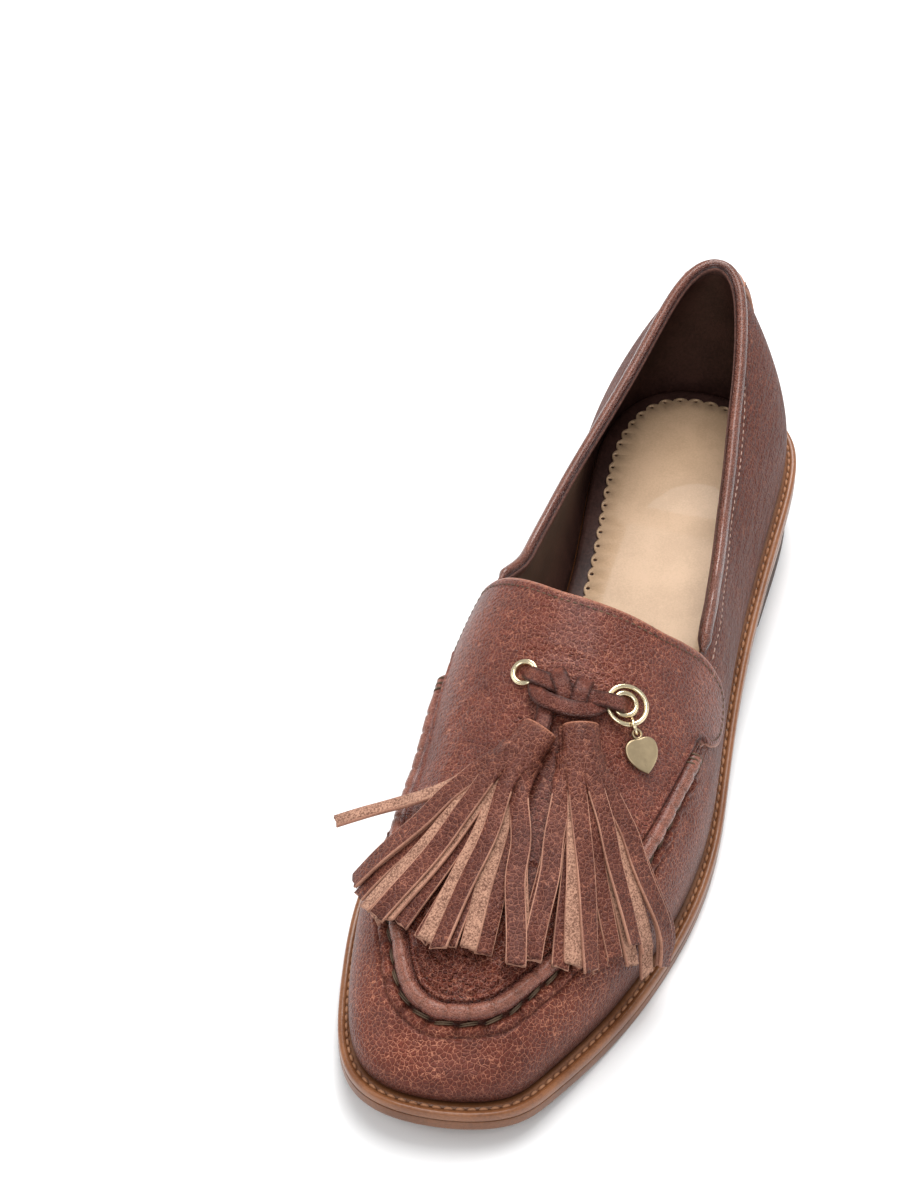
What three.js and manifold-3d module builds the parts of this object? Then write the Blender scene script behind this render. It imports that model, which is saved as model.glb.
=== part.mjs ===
import * as THREE from 'three'
import Module from 'manifold-3d'

const wasm = await Module()
wasm.setup()

// Driving sizes of a left tassel loafer, in millimetres
// Toe towards -Y, heel towards +Y, little-toe side +X, floor at Z = 0
const soleLength = 264
const ballWidth = 86.2
const heelWidth = 62.2
const heelHeight = 19.6
const toeSpring = 7.6
const outsoleThick = 3.6
const weltThick = 3.2
const weltShow = 3.6
const edgeRound = 0.7
const upperWall = 1.8
const instepHeight = 60
const collarHeight = 51
const collarWidth = 62.2
const waistBulge = 8
const insoleProud = 2
const sockThick = 0.8
const sockMargin = 4.6
const liftThick = 6
const heelTaper = 0.6
const plugThick = 1.3
const seamWidth = 4.4
const seamRise = 2.5
const seamEnd = 0.965
const bindingRadius = 1.2
const tabWidth = 26
const tabThick = 1.1
const eyeletRadius = 3.7
const eyeletBore = 2.3
const eyeletRise = 1.1
const ringRadius = 5.3
const ringWire = 0.65
const linkRadius = 2
const linkWire = 0.4
const heartWidth = 9
const heartLength = 10.5
const heartThick = 1
const laceWidth = 3.8
const laceThick = 1.7
const headRadius = 4.1
const headLength = 10
const stripWidth = 4.4
const stripThick = 1.3
const stripLength = 53
const gap = 0.3
const coverGap = 0.5

// Outline of the sole: shares of half the width there, at shares of the length
const outlineRows = [
  { at: 0.03, medial: 0.622, lateral: 0.371 },
  { at: 0.08, medial: 0.782, lateral: 0.557 },
  { at: 0.16, medial: 0.914, lateral: 0.756 },
  { at: 0.25, medial: 0.998, lateral: 0.914 },
  { at: 0.34, medial: 0.970, lateral: 0.998 },
  { at: 0.43, medial: 0.858, lateral: 0.993 },
  { at: 0.52, medial: 0.719, lateral: 0.960 },
  { at: 0.62, medial: 0.652, lateral: 1.025 },
  { at: 0.74, medial: 0.780, lateral: 1.137 },
  { at: 0.86, medial: 0.881, lateral: 1.119 },
  { at: 0.94, medial: 0.752, lateral: 0.977 },
  { at: 0.985, medial: 0.418, lateral: 0.592 },
]
const toeLean = -0.197
const heelLean = 0.080

// Sections of the last: spine height over the feather line as a share of the instep height,
// spine place as a share of half the ball width, roundness of each shoulder,
// bulge of each side as a share of the waist bulge
const sectionRows = [
  {
    at: 0, height: 0.5, centre: -0.07,
    medialRound: 2.6, lateralRound: 2.6, medialBulge: 0.19, lateralBulge: 0.19,
  },
  {
    at: 0.17, height: 0.5, centre: -0.07,
    medialRound: 2.6, lateralRound: 2.6, medialBulge: 0.19, lateralBulge: 0.19,
  },
  {
    at: 0.25, height: 0.595, centre: -0.09,
    medialRound: 2.3, lateralRound: 2.4, medialBulge: 0.1, lateralBulge: 0.25,
  },
  {
    at: 0.34, height: 0.728, centre: -0.09,
    medialRound: 2.05, lateralRound: 2.2, medialBulge: 0.1, lateralBulge: 0.25,
  },
  {
    at: 0.43, height: 0.898, centre: -0.09,
    medialRound: 2.2, lateralRound: 2, medialBulge: 0.56, lateralBulge: 0.31,
  },
  {
    at: 0.52, height: 0.997, centre: -0.07,
    medialRound: 2.5, lateralRound: 1.9, medialBulge: 1, lateralBulge: 0.31,
  },
  {
    at: 0.62, height: 1.02, centre: -0.02,
    medialRound: 2.3, lateralRound: 1.9, medialBulge: 1, lateralBulge: 0.31,
  },
  {
    at: 0.74, height: 0.995, centre: 0.02,
    medialRound: 2.1, lateralRound: 1.9, medialBulge: 0.62, lateralBulge: 0.31,
  },
  {
    at: 0.86, height: 1.082, centre: 0.05,
    medialRound: 2.1, lateralRound: 2.1, medialBulge: 0.38, lateralBulge: 0.31,
  },
  {
    at: 1, height: 1.193, centre: 0.05,
    medialRound: 2.3, lateralRound: 2.3, medialBulge: 0.31, lateralBulge: 0.31,
  },
]
const toeFan = 0.19
const heelFan = 0.86
const fanSoft = 0.05

// Topline with its binding: place across as a share of half the collar width, heights over
// the feather line as shares of the collar height
const toplineRows = [
  { at: 0.5, medial: 0.822, lateral: 0.982, medialHeight: 0.95, lateralHeight: 0.70 },
  { at: 0.585, medial: 0.798, lateral: 0.930, medialHeight: 0.784, lateralHeight: 0.768 },
  { at: 0.635, medial: 0.782, lateral: 0.882, medialHeight: 0.70, lateralHeight: 0.70 },
  { at: 0.68, medial: 0.750, lateral: 0.830, medialHeight: 0.649, lateralHeight: 0.649 },
  { at: 0.725, medial: 0.705, lateral: 0.773, medialHeight: 0.627, lateralHeight: 0.627 },
  { at: 0.78, medial: 0.608, lateral: 0.708, medialHeight: 0.657, lateralHeight: 0.657 },
  { at: 0.83, medial: 0.509, lateral: 0.638, medialHeight: 0.704, lateralHeight: 0.704 },
  { at: 0.875, medial: 0.420, lateral: 0.580, medialHeight: 0.769, lateralHeight: 0.769 },
  { at: 0.94, medial: 0.290, lateral: 0.465, medialHeight: 0.905, lateralHeight: 0.905 },
  { at: 0.975, medial: 0.175, lateral: 0.360, medialHeight: 0.990, lateralHeight: 0.990 },
]
const toplineBack = { across: 0.096, height: 1.035, set: 0.979 }
const collarFrom = 0.53
const collarFull = 0.62

// The moccasin seam on each side, from the toe to the instep, and the tongue past it:
// at is a share of the length, rise a share of the way from feather line to spine
const seamRows = {
  medial: [
    [0.012, 0.632], [0.05, 0.655], [0.10, 0.645], [0.2, 0.550], [0.3, 0.435], [0.4, 0.370], [0.458, 0.350],
  ],
  lateral: [
    [0.012, 0.615], [0.05, 0.634], [0.10, 0.612], [0.2, 0.545], [0.3, 0.476], [0.38, 0.422], [0.433, 0.377],
  ],
}
const seamToe = 0.606
const tongueSide = {
  medial: [[0.471, 0.350], [0.492, 0.370], [0.512, 0.395], [0.525, 0.430]],
  lateral: [[0.455, 0.289], [0.478, 0.246], [0.501, 0.241], [0.518, 0.266], [0.525, 0.308]],
}
const tongueTop = {
  medial: [[0.525, 0.430], [0.517, 0.565], [0.509, 0.680], [0.499, 0.818], [0.492, 0.926], [0.489, 1]],
  lateral: [
    [0.525, 0.308], [0.519, 0.430], [0.506, 0.553], [0.497, 0.647], [0.492, 0.775], [0.489, 0.898], [0.489, 1],
  ],
}
const throatInset = 0.009

const featherStack = outsoleThick + weltThick
const turnOf = share => Math.acos(1 - 2 * share)
const shareOf = turn => (1 - Math.cos(turn)) / 2
const mix = (a, b, f) => a + (b - a) * f
const clamp = (v, low, high) => Math.min(high, Math.max(low, v))

function smooth(from, to, v) {
  const u = clamp((v - from) / (to - from), 0, 1)
  return u * u * (3 - 2 * u)
}

// A smooth curve through rows of numbers: natural at its ends, or closed with a period
function curveThrough(xs, ys, period = 0) {
  const n = xs.length
  const step = i => (i < n - 1 ? xs[i + 1] - xs[i] : period - xs[n - 1] + xs[0])
  const slope = i => (ys[(i + 1) % n] - ys[i]) / step(i)
  const rows = []
  for (let i = 0; i < n; i += 1) {
    const row = new Array(n + 1).fill(0)
    if (!period && (i === 0 || i === n - 1)) {
      row[i] = 1
    } else {
      const before = (i + n - 1) % n
      row[before] += step(before)
      row[i] += 2 * (step(before) + step(i))
      row[(i + 1) % n] += step(i)
      row[n] = 6 * (slope(i) - slope(before))
    }
    rows.push(row)
  }
  for (let i = 0; i < n; i += 1) {
    for (let k = 0; k < n; k += 1) {
      if (k === i || rows[k][i] === 0) continue
      const factor = rows[k][i] / rows[i][i]
      for (let c = i; c <= n; c += 1) rows[k][c] -= factor * rows[i][c]
    }
  }
  const bend = rows.map((row, i) => row[n] / row[i])
  return v => {
    const x = period ? ((v - xs[0]) % period + period) % period + xs[0] : clamp(v, xs[0], xs[n - 1])
    let i = 0
    while (i < (period ? n - 1 : n - 2) && x > xs[i + 1]) i += 1
    const k = (i + 1) % n
    const h = step(i)
    const b = (x - xs[i]) / h
    const a = 1 - b
    return a * ys[i] + b * ys[k] + ((a ** 3 - a) * bend[i] + (b ** 3 - b) * bend[k]) * h * h / 6
  }
}

const column = (rows, name) => curveThrough(rows.map(r => r.at), rows.map(r => r[name]))
const widthAt = share => mix(ballWidth, heelWidth, smooth(0.45, 0.75, share)) / 2

// Underside of the sole: toe spring, a flat tread, the arch and the raised heel seat
function undersideAt(y) {
  const share = clamp(y / soleLength, 0, 1)
  const spring = Math.max(0, 1 - share / 0.22) ** 1.9
  return toeSpring * spring + heelHeight * smooth(0.39, 0.89, share)
}

const outlineTurns = outlineRows.map(r => turnOf(r.at))
const outlineAcross = curveThrough(
  [-Math.PI, ...outlineTurns.map(t => -t).reverse(), 0, ...outlineTurns],
  [
    heelLean * heelWidth / 2,
    ...outlineRows.map(r => -r.medial * widthAt(r.at)).reverse(),
    toeLean * ballWidth / 2,
    ...outlineRows.map(r => r.lateral * widthAt(r.at)),
  ],
  2 * Math.PI,
)

// A point of the sole's outline, moved in from the edge; turn runs from -pi at the heel
// along the medial side to 0 at the toe tip and back along the lateral side to pi
function outlineAt(turn, inset = 0) {
  const small = 1e-4
  const dx = (outlineAcross(turn + small) - outlineAcross(turn - small)) / (2 * small)
  const dy = soleLength * Math.sin(turn) / 2
  const long = Math.hypot(dx, dy)
  const out = { x: dy / long, y: -dx / long }
  return {
    x: outlineAcross(turn) - inset * out.x,
    y: soleLength * shareOf(turn) - inset * out.y,
    out,
  }
}

const spineHeight = column(sectionRows, 'height')
const spineCentre = column(sectionRows, 'centre')
const rounds = { medial: column(sectionRows, 'medialRound'), lateral: column(sectionRows, 'lateralRound') }
const bulges = { medial: column(sectionRows, 'medialBulge'), lateral: column(sectionRows, 'lateralBulge') }
const spineZ = share => undersideAt(share * soleLength) + featherStack + instepHeight * spineHeight(share)

const toplineTurns = toplineRows.map(r => turnOf(r.at))
const toplineKeys = [...toplineTurns, Math.PI, ...toplineTurns.map(t => 2 * Math.PI - t).reverse()]
const toplineAcross = curveThrough(toplineKeys, [
  ...toplineRows.map(r => r.lateral),
  toplineBack.across,
  ...toplineRows.map(r => -r.medial).reverse(),
])
const toplineHeight = curveThrough(toplineKeys, [
  ...toplineRows.map(r => r.lateralHeight),
  toplineBack.height,
  ...toplineRows.map(r => r.medialHeight).reverse(),
])
const bindingRise = 2 * bindingRadius + gap

function toplineAt(turn) {
  const key = turn < 0 ? turn + 2 * Math.PI : turn
  const y = soleLength * toplineBack.set * shareOf(turn)
  return new THREE.Vector3(
    toplineAcross(key) * collarWidth / 2,
    y,
    undersideAt(y) + featherStack + collarHeight * toplineHeight(key) - bindingRise,
  )
}

// One side's value passes softly into the other's over the toe tip and the heel's back
function sided(pair, turn, share) {
  const mean = (pair.medial(share) + pair.lateral(share)) / 2
  const own = turn < 0 ? pair.medial(share) : pair.lateral(share)
  return mix(mean, own, smooth(0, 0.5, Math.sin(Math.abs(turn))))
}

const bulgeShape = t => (t <= 0 || t >= 1 ? 0 : t ** 0.8 * (1 - t) ** 1.6 / (0.333 ** 0.8 * 0.667 ** 1.6))

function ribAt(turn) {
  const share = shareOf(turn)
  const foot = outlineAt(turn, weltShow)
  const footZ = undersideAt(foot.y) + featherStack
  const afterToe = (share + toeFan) / 2 + Math.hypot((share - toeFan) / 2, fanSoft)
  const held = (afterToe + heelFan) / 2 - Math.hypot((afterToe - heelFan) / 2, fanSoft)
  const spine = new THREE.Vector3(
    spineCentre(held) * ballWidth / 2,
    held * soleLength,
    spineZ(Math.max(held, share)),
  )
  const step = 0.01
  const slope = (spineZ(held + step) - spineZ(held - step)) / (2 * step * soleLength)
  return {
    turn,
    share,
    foot,
    footZ,
    spine,
    slope: spine.y > foot.y ? slope : 0,
    round: sided(rounds, turn, share),
    bulge: waistBulge * sided(bulges, turn, share),
  }
}

function ribPoint(rib, t) {
  const across = 1 - Math.max(0, Math.cos(Math.PI * t / 2)) ** (2 / rib.round)
  const up = Math.max(0, Math.sin(Math.PI * t / 2)) ** (2 / rib.round)
  const x = mix(rib.foot.x, rib.spine.x, across)
  const y = mix(rib.foot.y, rib.spine.y, across)
  const tilt = rib.slope * (y - rib.spine.y)
  const footTilt = rib.slope * (rib.foot.y - rib.spine.y)
  const out = rib.bulge * bulgeShape(t)
  return new THREE.Vector3(
    x + rib.foot.out.x * out,
    y + rib.foot.out.y * out,
    tilt + mix(rib.footZ - footTilt, rib.spine.z, up),
  )
}

// How far up its rib the topline lies
function toplineRise(turn, rib = ribAt(turn)) {
  const share = clamp((toplineAt(turn).z - rib.footZ) / (rib.spine.z - rib.footZ), 0.01, 0.995)
  return Math.asin(share ** (rib.round / 2)) * 2 / Math.PI
}

// The outer face of the upper: turn is the place round the sole, t the way up to the spine.
// Behind the instep each rib is drawn in so that it meets the topline.
function lastPoint(turn, t) {
  const rib = ribAt(turn)
  const point = ribPoint(rib, t)
  const share = smooth(collarFrom, collarFull, rib.share)
  if (share > 0) {
    const rise = toplineRise(turn, rib)
    const pull = toplineAt(turn).sub(ribPoint(rib, rise))
    const reach = t <= rise ? (Math.max(t, 0) / rise) ** 1.5 : 1 - smooth(rise, 1, t)
    point.addScaledVector(pull, share * reach)
  }
  return point
}

function lastFrame(turn, t) {
  const small = 1e-3
  const point = lastPoint(turn, t)
  const along = lastPoint(turn + small, t).sub(lastPoint(turn - small, t)).normalize()
  const up = lastPoint(turn, Math.min(1, t + small)).sub(lastPoint(turn, t - small))
  const rate = up.length() / (t + small > 1 ? small : 2 * small)
  up.normalize()
  return { point, along, up, out: along.clone().cross(up).normalize(), rate }
}

// The height of the last's face over a place on the floor, and its normal there
function faceOver(x, y) {
  const ridge = spineCentre(toeFan) * ballWidth / 2
  let turn = Math.sign(x - ridge) * turnOf(clamp(y / soleLength, 0.02, 0.6))
  let t = 0.8
  for (let round = 0; round < 40; round += 1) {
    const small = 1e-4
    const here = lastPoint(turn, t)
    const byTurn = lastPoint(turn + small, t).sub(here).divideScalar(small)
    const byT = here.clone().sub(lastPoint(turn, t - small)).divideScalar(small)
    const gapX = x - here.x
    const gapY = y - here.y
    const det = byTurn.x * byT.y - byTurn.y * byT.x
    const dTurn = (gapX * byT.y - gapY * byT.x) / det
    const dT = (byTurn.x * gapY - byTurn.y * gapX) / det
    turn += clamp(dTurn, -0.2, 0.2) * 0.8
    t = clamp(t + clamp(dT, -0.1, 0.1) * 0.8, 0.02, 1)
  }
  return lastFrame(turn, t)
}

// A sheet is points and faces; a grid makes one from a function of its row and column
function gridSheet(columns, rows, pointAt) {
  const points = []
  const faces = []
  for (let i = 0; i <= columns; i += 1) {
    for (let j = 0; j <= rows; j += 1) points.push(pointAt(i, j))
  }
  const at = (i, j) => i * (rows + 1) + j
  for (let i = 0; i < columns; i += 1) {
    for (let j = 0; j < rows; j += 1) {
      faces.push([at(i, j), at(i + 1, j), at(i + 1, j + 1)])
      faces.push([at(i, j), at(i + 1, j + 1), at(i, j + 1)])
    }
  }
  return weldSheet({ points, faces })
}

function weldSheet({ points, faces }) {
  const seen = new Map()
  const kept = []
  const places = points.map(p => {
    const key = [p.x, p.y, p.z].map(v => Math.round(v * 1000)).join(' ')
    if (!seen.has(key)) {
      seen.set(key, kept.length)
      kept.push(p)
    }
    return seen.get(key)
  })
  const joined = faces.map(f => f.map(i => places[i]))
  return { points: kept, faces: joined.filter(f => f[0] !== f[1] && f[1] !== f[2] && f[2] !== f[0]) }
}

function sheetNormals({ points, faces }) {
  const normals = points.map(() => new THREE.Vector3())
  faces.forEach(face => {
    const [a, b, c] = face.map(i => points[i])
    const normal = b.clone().sub(a).cross(c.clone().sub(a))
    face.forEach(i => normals[i].add(normal))
  })
  return normals.map(n => n.normalize())
}

// A closed body between two sheets that share their faces
function bodyBetween(faces, high, low) {
  const count = high.length
  const edges = new Map()
  faces.forEach(face => face.forEach((a, k) => {
    const b = face[(k + 1) % 3]
    edges.set(`${a} ${b}`, [a, b])
  }))
  const index = faces.flat()
  faces.forEach(([a, b, c]) => index.push(count + a, count + c, count + b))
  edges.forEach(([a, b]) => {
    if (!edges.has(`${b} ${a}`)) index.push(b, a, count + a, b, count + a, count + b)
  })
  return bodyOf([...high, ...low], index)
}

function bodyOf(points, index) {
  const geometry = new THREE.BufferGeometry()
  geometry.setAttribute('position', new THREE.Float32BufferAttribute(points.flatMap(p => [p.x, p.y, p.z]), 3))
  geometry.setIndex(index)
  return geometry
}

// A wall on a sheet, from one distance off it to another
function wallOn(sheet, from, to) {
  const normals = sheetNormals(sheet)
  const moved = distance => sheet.points.map((p, i) => p.clone().addScaledVector(normals[i], distance))
  return bodyBetween(sheet.faces, moved(to), moved(from))
}

// A body swept through rings of points, closed at both ends or into a loop
function bodyThrough(rings, loop = false) {
  const count = rings[0].length
  const index = []
  const last = loop ? rings.length : rings.length - 1
  for (let i = 0; i < last; i += 1) {
    for (let k = 0; k < count; k += 1) {
      const a = i * count + k
      const b = i * count + (k + 1) % count
      const c = ((i + 1) % rings.length) * count + k
      const d = ((i + 1) % rings.length) * count + (k + 1) % count
      index.push(a, b, d, a, d, c)
    }
  }
  if (!loop) {
    const end = (rings.length - 1) * count
    for (let k = 1; k < count - 1; k += 1) index.push(0, k + 1, k, end, end + k, end + k + 1)
  }
  return facingOut(bodyOf(rings.flat(), index))
}

function facingOut(geometry) {
  const place = geometry.attributes.position
  const index = [...geometry.index.array]
  const corner = i => new THREE.Vector3().fromBufferAttribute(place, i)
  let volume = 0
  for (let i = 0; i < index.length; i += 3) {
    volume += corner(index[i]).dot(corner(index[i + 1]).cross(corner(index[i + 2])))
  }
  if (volume < 0) geometry.setIndex(index.map((v, i) => index[i - (i % 3) + [0, 2, 1][i % 3]]))
  return geometry
}

// Booleans on closed bodies
function solidOf(geometry) {
  return new wasm.Manifold(new wasm.Mesh({
    numProp: 3,
    vertProperties: new Float32Array(geometry.attributes.position.array),
    triVerts: new Uint32Array(geometry.index.array),
  }))
}

function geometryOf(solid) {
  const mesh = solid.getMesh()
  const geometry = new THREE.BufferGeometry()
  const places = []
  for (let i = 0; i < mesh.numVert; i += 1) places.push(...mesh.position(i))
  geometry.setAttribute('position', new THREE.Float32BufferAttribute(places, 3))
  geometry.setIndex([...mesh.triVerts])
  return geometry
}

const joined = parts => geometryOf(parts.map(solidOf).reduce((a, b) => a.add(b)))

// A plate that follows the sole's curve: outline moved in, heights over the underside
function soleSheet(columns, rows, inset, height, from = 0, to = Math.PI) {
  return gridSheet(columns, rows, (i, j) => {
    const turn = mix(from, to, i / columns)
    const lateral = outlineAt(turn, inset)
    const medial = outlineAt(-turn, inset)
    const x = mix(lateral.x, medial.x, j / rows)
    const y = mix(lateral.y, medial.y, j / rows)
    return new THREE.Vector3(x, y, height(x, y))
  })
}

function solePlate(columns, rows, inset, low, high, lowInset = inset) {
  const top = soleSheet(columns, rows, inset, high)
  const bottom = soleSheet(columns, rows, lowInset, low)
  return bodyBetween(top.faces, top.points, bottom.points)
}

const overSole = distance => (x, y) => undersideAt(y) + distance

function makeOutsole() {
  return solePlate(30, 4, 0, overSole(0), overSole(outsoleThick), edgeRound)
}

function makeWelt() {
  const columns = 60
  const inner = weltShow + upperWall
  const low = outsoleThick + gap
  const rings = []
  for (let i = 0; i < columns; i += 1) {
    const turn = -Math.PI + 2 * Math.PI * i / columns
    const corner = (inset, height) => {
      const place = outlineAt(turn, inset)
      return new THREE.Vector3(place.x, place.y, undersideAt(place.y) + height)
    }
    rings.push([
      corner(inner, low),
      corner(0, low),
      corner(0, featherStack - edgeRound - gap),
      corner(edgeRound, featherStack - gap),
      corner(inner, featherStack - gap),
    ])
  }
  return bodyThrough(rings, true)
}

const insoleInset = weltShow + upperWall + 2 * gap
const insoleTop = featherStack + insoleProud

function makeInsole() {
  return solePlate(26, 4, insoleInset, overSole(outsoleThick + gap), overSole(insoleTop))
}

function makeSock() {
  const inset = insoleInset + sockMargin
  return solePlate(26, 3, inset, overSole(insoleTop + gap), overSole(insoleTop + gap + sockThick))
}

// The heel: a stack of lifts and a top lift, cut straight at the breast
const breastAt = 0.745

function heelLayer(low, high) {
  const from = turnOf(breastAt)
  const columns = 14
  const top = soleSheet(columns, 3, edgeRound + gap, high, from)
  const bottom = soleSheet(columns, 3, edgeRound + gap + heelTaper, low, from)
  return bodyBetween(top.faces, top.points, bottom.points)
}

const makeStack = () => heelLayer(() => liftThick + gap, (x, y) => undersideAt(y) - gap)
const makeLift = () => heelLayer(() => 0, () => liftThick)

// The upper's edge round the throat, just inside the tongue's, then the topline
const throatRows = {
  medial: [[0.489, 1], [0.492, 0.92], [0.498, 0.82], [0.505, 0.70], [0.512, 0.60], [0.522, 0.525]],
  lateral: [[0.489, 1], [0.490, 0.88], [0.493, 0.76], [0.498, 0.64], [0.507, 0.53], [0.518, 0.455]],
}
const upperSplit = { throat: turnOf(0.40), collar: turnOf(0.61) }

function pathOf(rows) {
  return new THREE.SplineCurve(rows.map(([at, rise]) => new THREE.Vector2(turnOf(at), rise)))
}

function throatPath(side) {
  const sign = side === 'medial' ? -1 : 1
  const rows = throatRows[side].map(([at, rise]) => [at - throatInset, rise])
  const joins = [0.54, 0.57, shareOf(upperSplit.collar)]
  return pathOf([...rows, ...joins.map(at => [at, toplineRise(sign * turnOf(at))])])
}

function makeUpper() {
  const throat = { medial: throatPath('medial'), lateral: throatPath('lateral') }
  const vampColumns = 11
  const throatColumns = 8
  const collarColumns = 10
  const half = vampColumns + throatColumns + collarColumns
  const rows = 10
  const ridge = throat.lateral.getPoint(0).x
  const sheet = gridSheet(2 * half, rows, (i, j) => {
    const sign = i < half ? -1 : 1
    const side = i < half ? 'medial' : 'lateral'
    const k = Math.abs(i - half)
    const up = j / rows
    let turn
    let end
    if (k <= vampColumns) {
      turn = upperSplit.throat * k / vampColumns
      end = new THREE.Vector2(ridge * k / vampColumns, 1)
    } else if (k <= vampColumns + throatColumns) {
      const f = (k - vampColumns) / throatColumns
      turn = mix(upperSplit.throat, upperSplit.collar, f)
      end = throat[side].getPoint(f)
    } else {
      const f = (k - vampColumns - throatColumns) / collarColumns
      turn = mix(upperSplit.collar, Math.PI, f)
      end = new THREE.Vector2(turn, toplineRise(sign * turn))
    }
    return lastPoint(sign * mix(turn, end.x, up), end.y * up)
  })
  return wallOn(sheet, -upperWall, 0)
}

// The seam line of one side, and the edge of the plug just inside its roll
function seamPath(side) {
  return pathOf([[0, seamToe], ...seamRows[side]])
}

function insideSeam(side, turn, rise) {
  const sign = side === 'medial' ? -1 : 1
  const frame = lastFrame(sign * turn, rise)
  return rise + (seamWidth / 2 + coverGap) / frame.rate
}

const plugTop = coverGap + plugThick

function makePlug() {
  const seamColumns = 13
  const sideColumns = 6
  const half = seamColumns + sideColumns
  const rows = 6
  const paths = {}
  for (const side of ['medial', 'lateral']) {
    const end = seamRows[side].at(-1)
    paths[side] = {
      seam: seamPath(side),
      edge: pathOf([end, ...tongueSide[side]]),
      top: pathOf(tongueTop[side]),
    }
  }
  const crown = turnOf(tongueTop.medial.at(-1)[0])
  const sheet = gridSheet(2 * half, rows, (i, j) => {
    const sign = i < half ? -1 : 1
    const side = i < half ? 'medial' : 'lateral'
    const k = Math.abs(i - half)
    const f = j / rows
    const path = paths[side]
    let foot
    if (k <= seamColumns) {
      foot = path.seam.getPoint(k / seamColumns)
      foot.y = insideSeam(side, foot.x, foot.y)
    } else {
      foot = path.edge.getPoint((k - seamColumns) / sideColumns)
    }
    const head = new THREE.Vector2(crown * k / half, 1)
    const place = foot.clone().lerp(head, f)
    const last = path.edge.getPoint(1).lerp(new THREE.Vector2(crown, 1), f)
    const pull = (k / half) ** 4
    place.addScaledVector(path.top.getPoint(f).sub(last), pull)
    return lastPoint(sign * place.x, place.y)
  })
  return wallOn(sheet, coverGap, plugTop)
}

// A low roll of leather over the seam between plug and vamp
function makeSeam() {
  const stations = 44
  const paths = { medial: seamPath('medial'), lateral: seamPath('lateral') }
  const centres = []
  for (let i = 0; i <= stations; i += 1) {
    const f = 2 * i / stations - 1
    const side = f < 0 ? 'medial' : 'lateral'
    const place = paths[side].getPoint(seamEnd * Math.abs(f))
    centres.push(lastFrame(Math.sign(f || 1) * place.x, place.y))
  }
  const profile = [[-0.5, 0.05], [0.5, 0.05], [0.44, 0.6], [0.2, 0.95], [-0.2, 0.95], [-0.44, 0.6]]
  const rings = centres.map((frame, i) => {
    const before = centres[Math.max(0, i - 1)].point
    const after = centres[Math.min(stations, i + 1)].point
    const along = after.clone().sub(before).normalize()
    const across = frame.out.clone().cross(along).normalize()
    return profile.map(([a, r]) => frame.point.clone()
      .addScaledVector(across, a * seamWidth)
      .addScaledVector(frame.out, gap + r * seamRise))
  })
  return bodyThrough(rings)
}

// The rolled binding that lies on the topline, from one side of the tongue to the other
const bindingFrom = { medial: 0.548, lateral: 0.543 }

function makeBinding() {
  const stations = 42
  const sides = 6
  const from = turnOf(bindingFrom.lateral)
  const to = 2 * Math.PI - turnOf(bindingFrom.medial)
  const rings = []
  for (let i = 0; i <= stations; i += 1) {
    const key = mix(from, to, i / stations)
    const turn = key > Math.PI ? key - 2 * Math.PI : key
    const frame = lastFrame(turn, toplineRise(turn))
    const centre = frame.point.clone()
      .addScaledVector(frame.out, -upperWall / 2)
      .addScaledVector(frame.up, bindingRadius + gap)
    rings.push(Array.from({ length: sides }, (_, k) => {
      const angle = 2 * Math.PI * k / sides
      return centre.clone()
        .addScaledVector(frame.out, bindingRadius * Math.cos(angle))
        .addScaledVector(frame.up, bindingRadius * Math.sin(angle))
    }))
  }
  return bodyThrough(rings)
}

// The strip of leather over the back seam, wider at its foot
function makeTab() {
  const columns = 6
  const rows = 6
  const half = tabWidth / 2
  const sheet = gridSheet(columns, rows, (i, j) => {
    const rise = toplineRise(Math.PI)
    const t = rise * mix(0.30, 0.97, j / rows)
    const across = mix(1, -1, i / columns) * half * mix(1, 0.7, j / rows)
    const step = 0.01
    const width = lastPoint(Math.PI - step, t).distanceTo(lastPoint(Math.PI, t)) / step
    return lastPoint(Math.PI - across / width, t)
  })
  return facingOut(wallOn(sheet, coverGap, coverGap + tabThick))
}

// The metal pieces lie on the plug at the two lace holes
const eyeletPlaces = { medial: [0.404, 0.898], lateral: [0.405, 0.731] }

function plugFrame(side) {
  const sign = side === 'medial' ? -1 : 1
  const [at, rise] = eyeletPlaces[side]
  return lastFrame(sign * turnOf(at), rise)
}

function placed(geometry, origin, xAxis, zAxis) {
  const yAxis = zAxis.clone().cross(xAxis).normalize()
  const basis = new THREE.Matrix4().makeBasis(yAxis.clone().cross(zAxis).normalize(), yAxis, zAxis)
  basis.setPosition(origin)
  return geometry.applyMatrix4(basis)
}

// A ring of round section about Z, as rings of points
function ringBody(radius, wire, segments, sides) {
  const rings = []
  for (let i = 0; i < segments; i += 1) {
    const turn = 2 * Math.PI * i / segments
    rings.push(Array.from({ length: sides }, (_, k) => {
      const angle = 2 * Math.PI * k / sides
      const reach = radius + wire * Math.cos(angle)
      return new THREE.Vector3(reach * Math.cos(turn), reach * Math.sin(turn), wire * Math.sin(angle))
    }))
  }
  return bodyThrough(rings, true)
}

function makeEyelet(side) {
  const frame = plugFrame(side)
  const mid = (eyeletRadius + eyeletBore) / 2
  const half = (eyeletRadius - eyeletBore) / 2
  const flat = eyeletRise / (2 * half)
  const body = ringBody(mid, half, 16, 6).scale(1, 1, flat)
  const lift = plugTop + gap + eyeletRise / 2
  return placed(body, frame.point.clone().addScaledVector(frame.out, lift), frame.along, frame.out)
}

// The jump ring lies round the lateral eyelet, raised where the link passes under it.
// The link hangs on the ring's wire and carries the heart, which lies down on the plug.
const ringShift = 0.45
const charmTip = [24.2, 95.4]
const ringLow = plugTop + gap + ringWire
const ringHigh = ringLow + 2 * linkWire + gap

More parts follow.
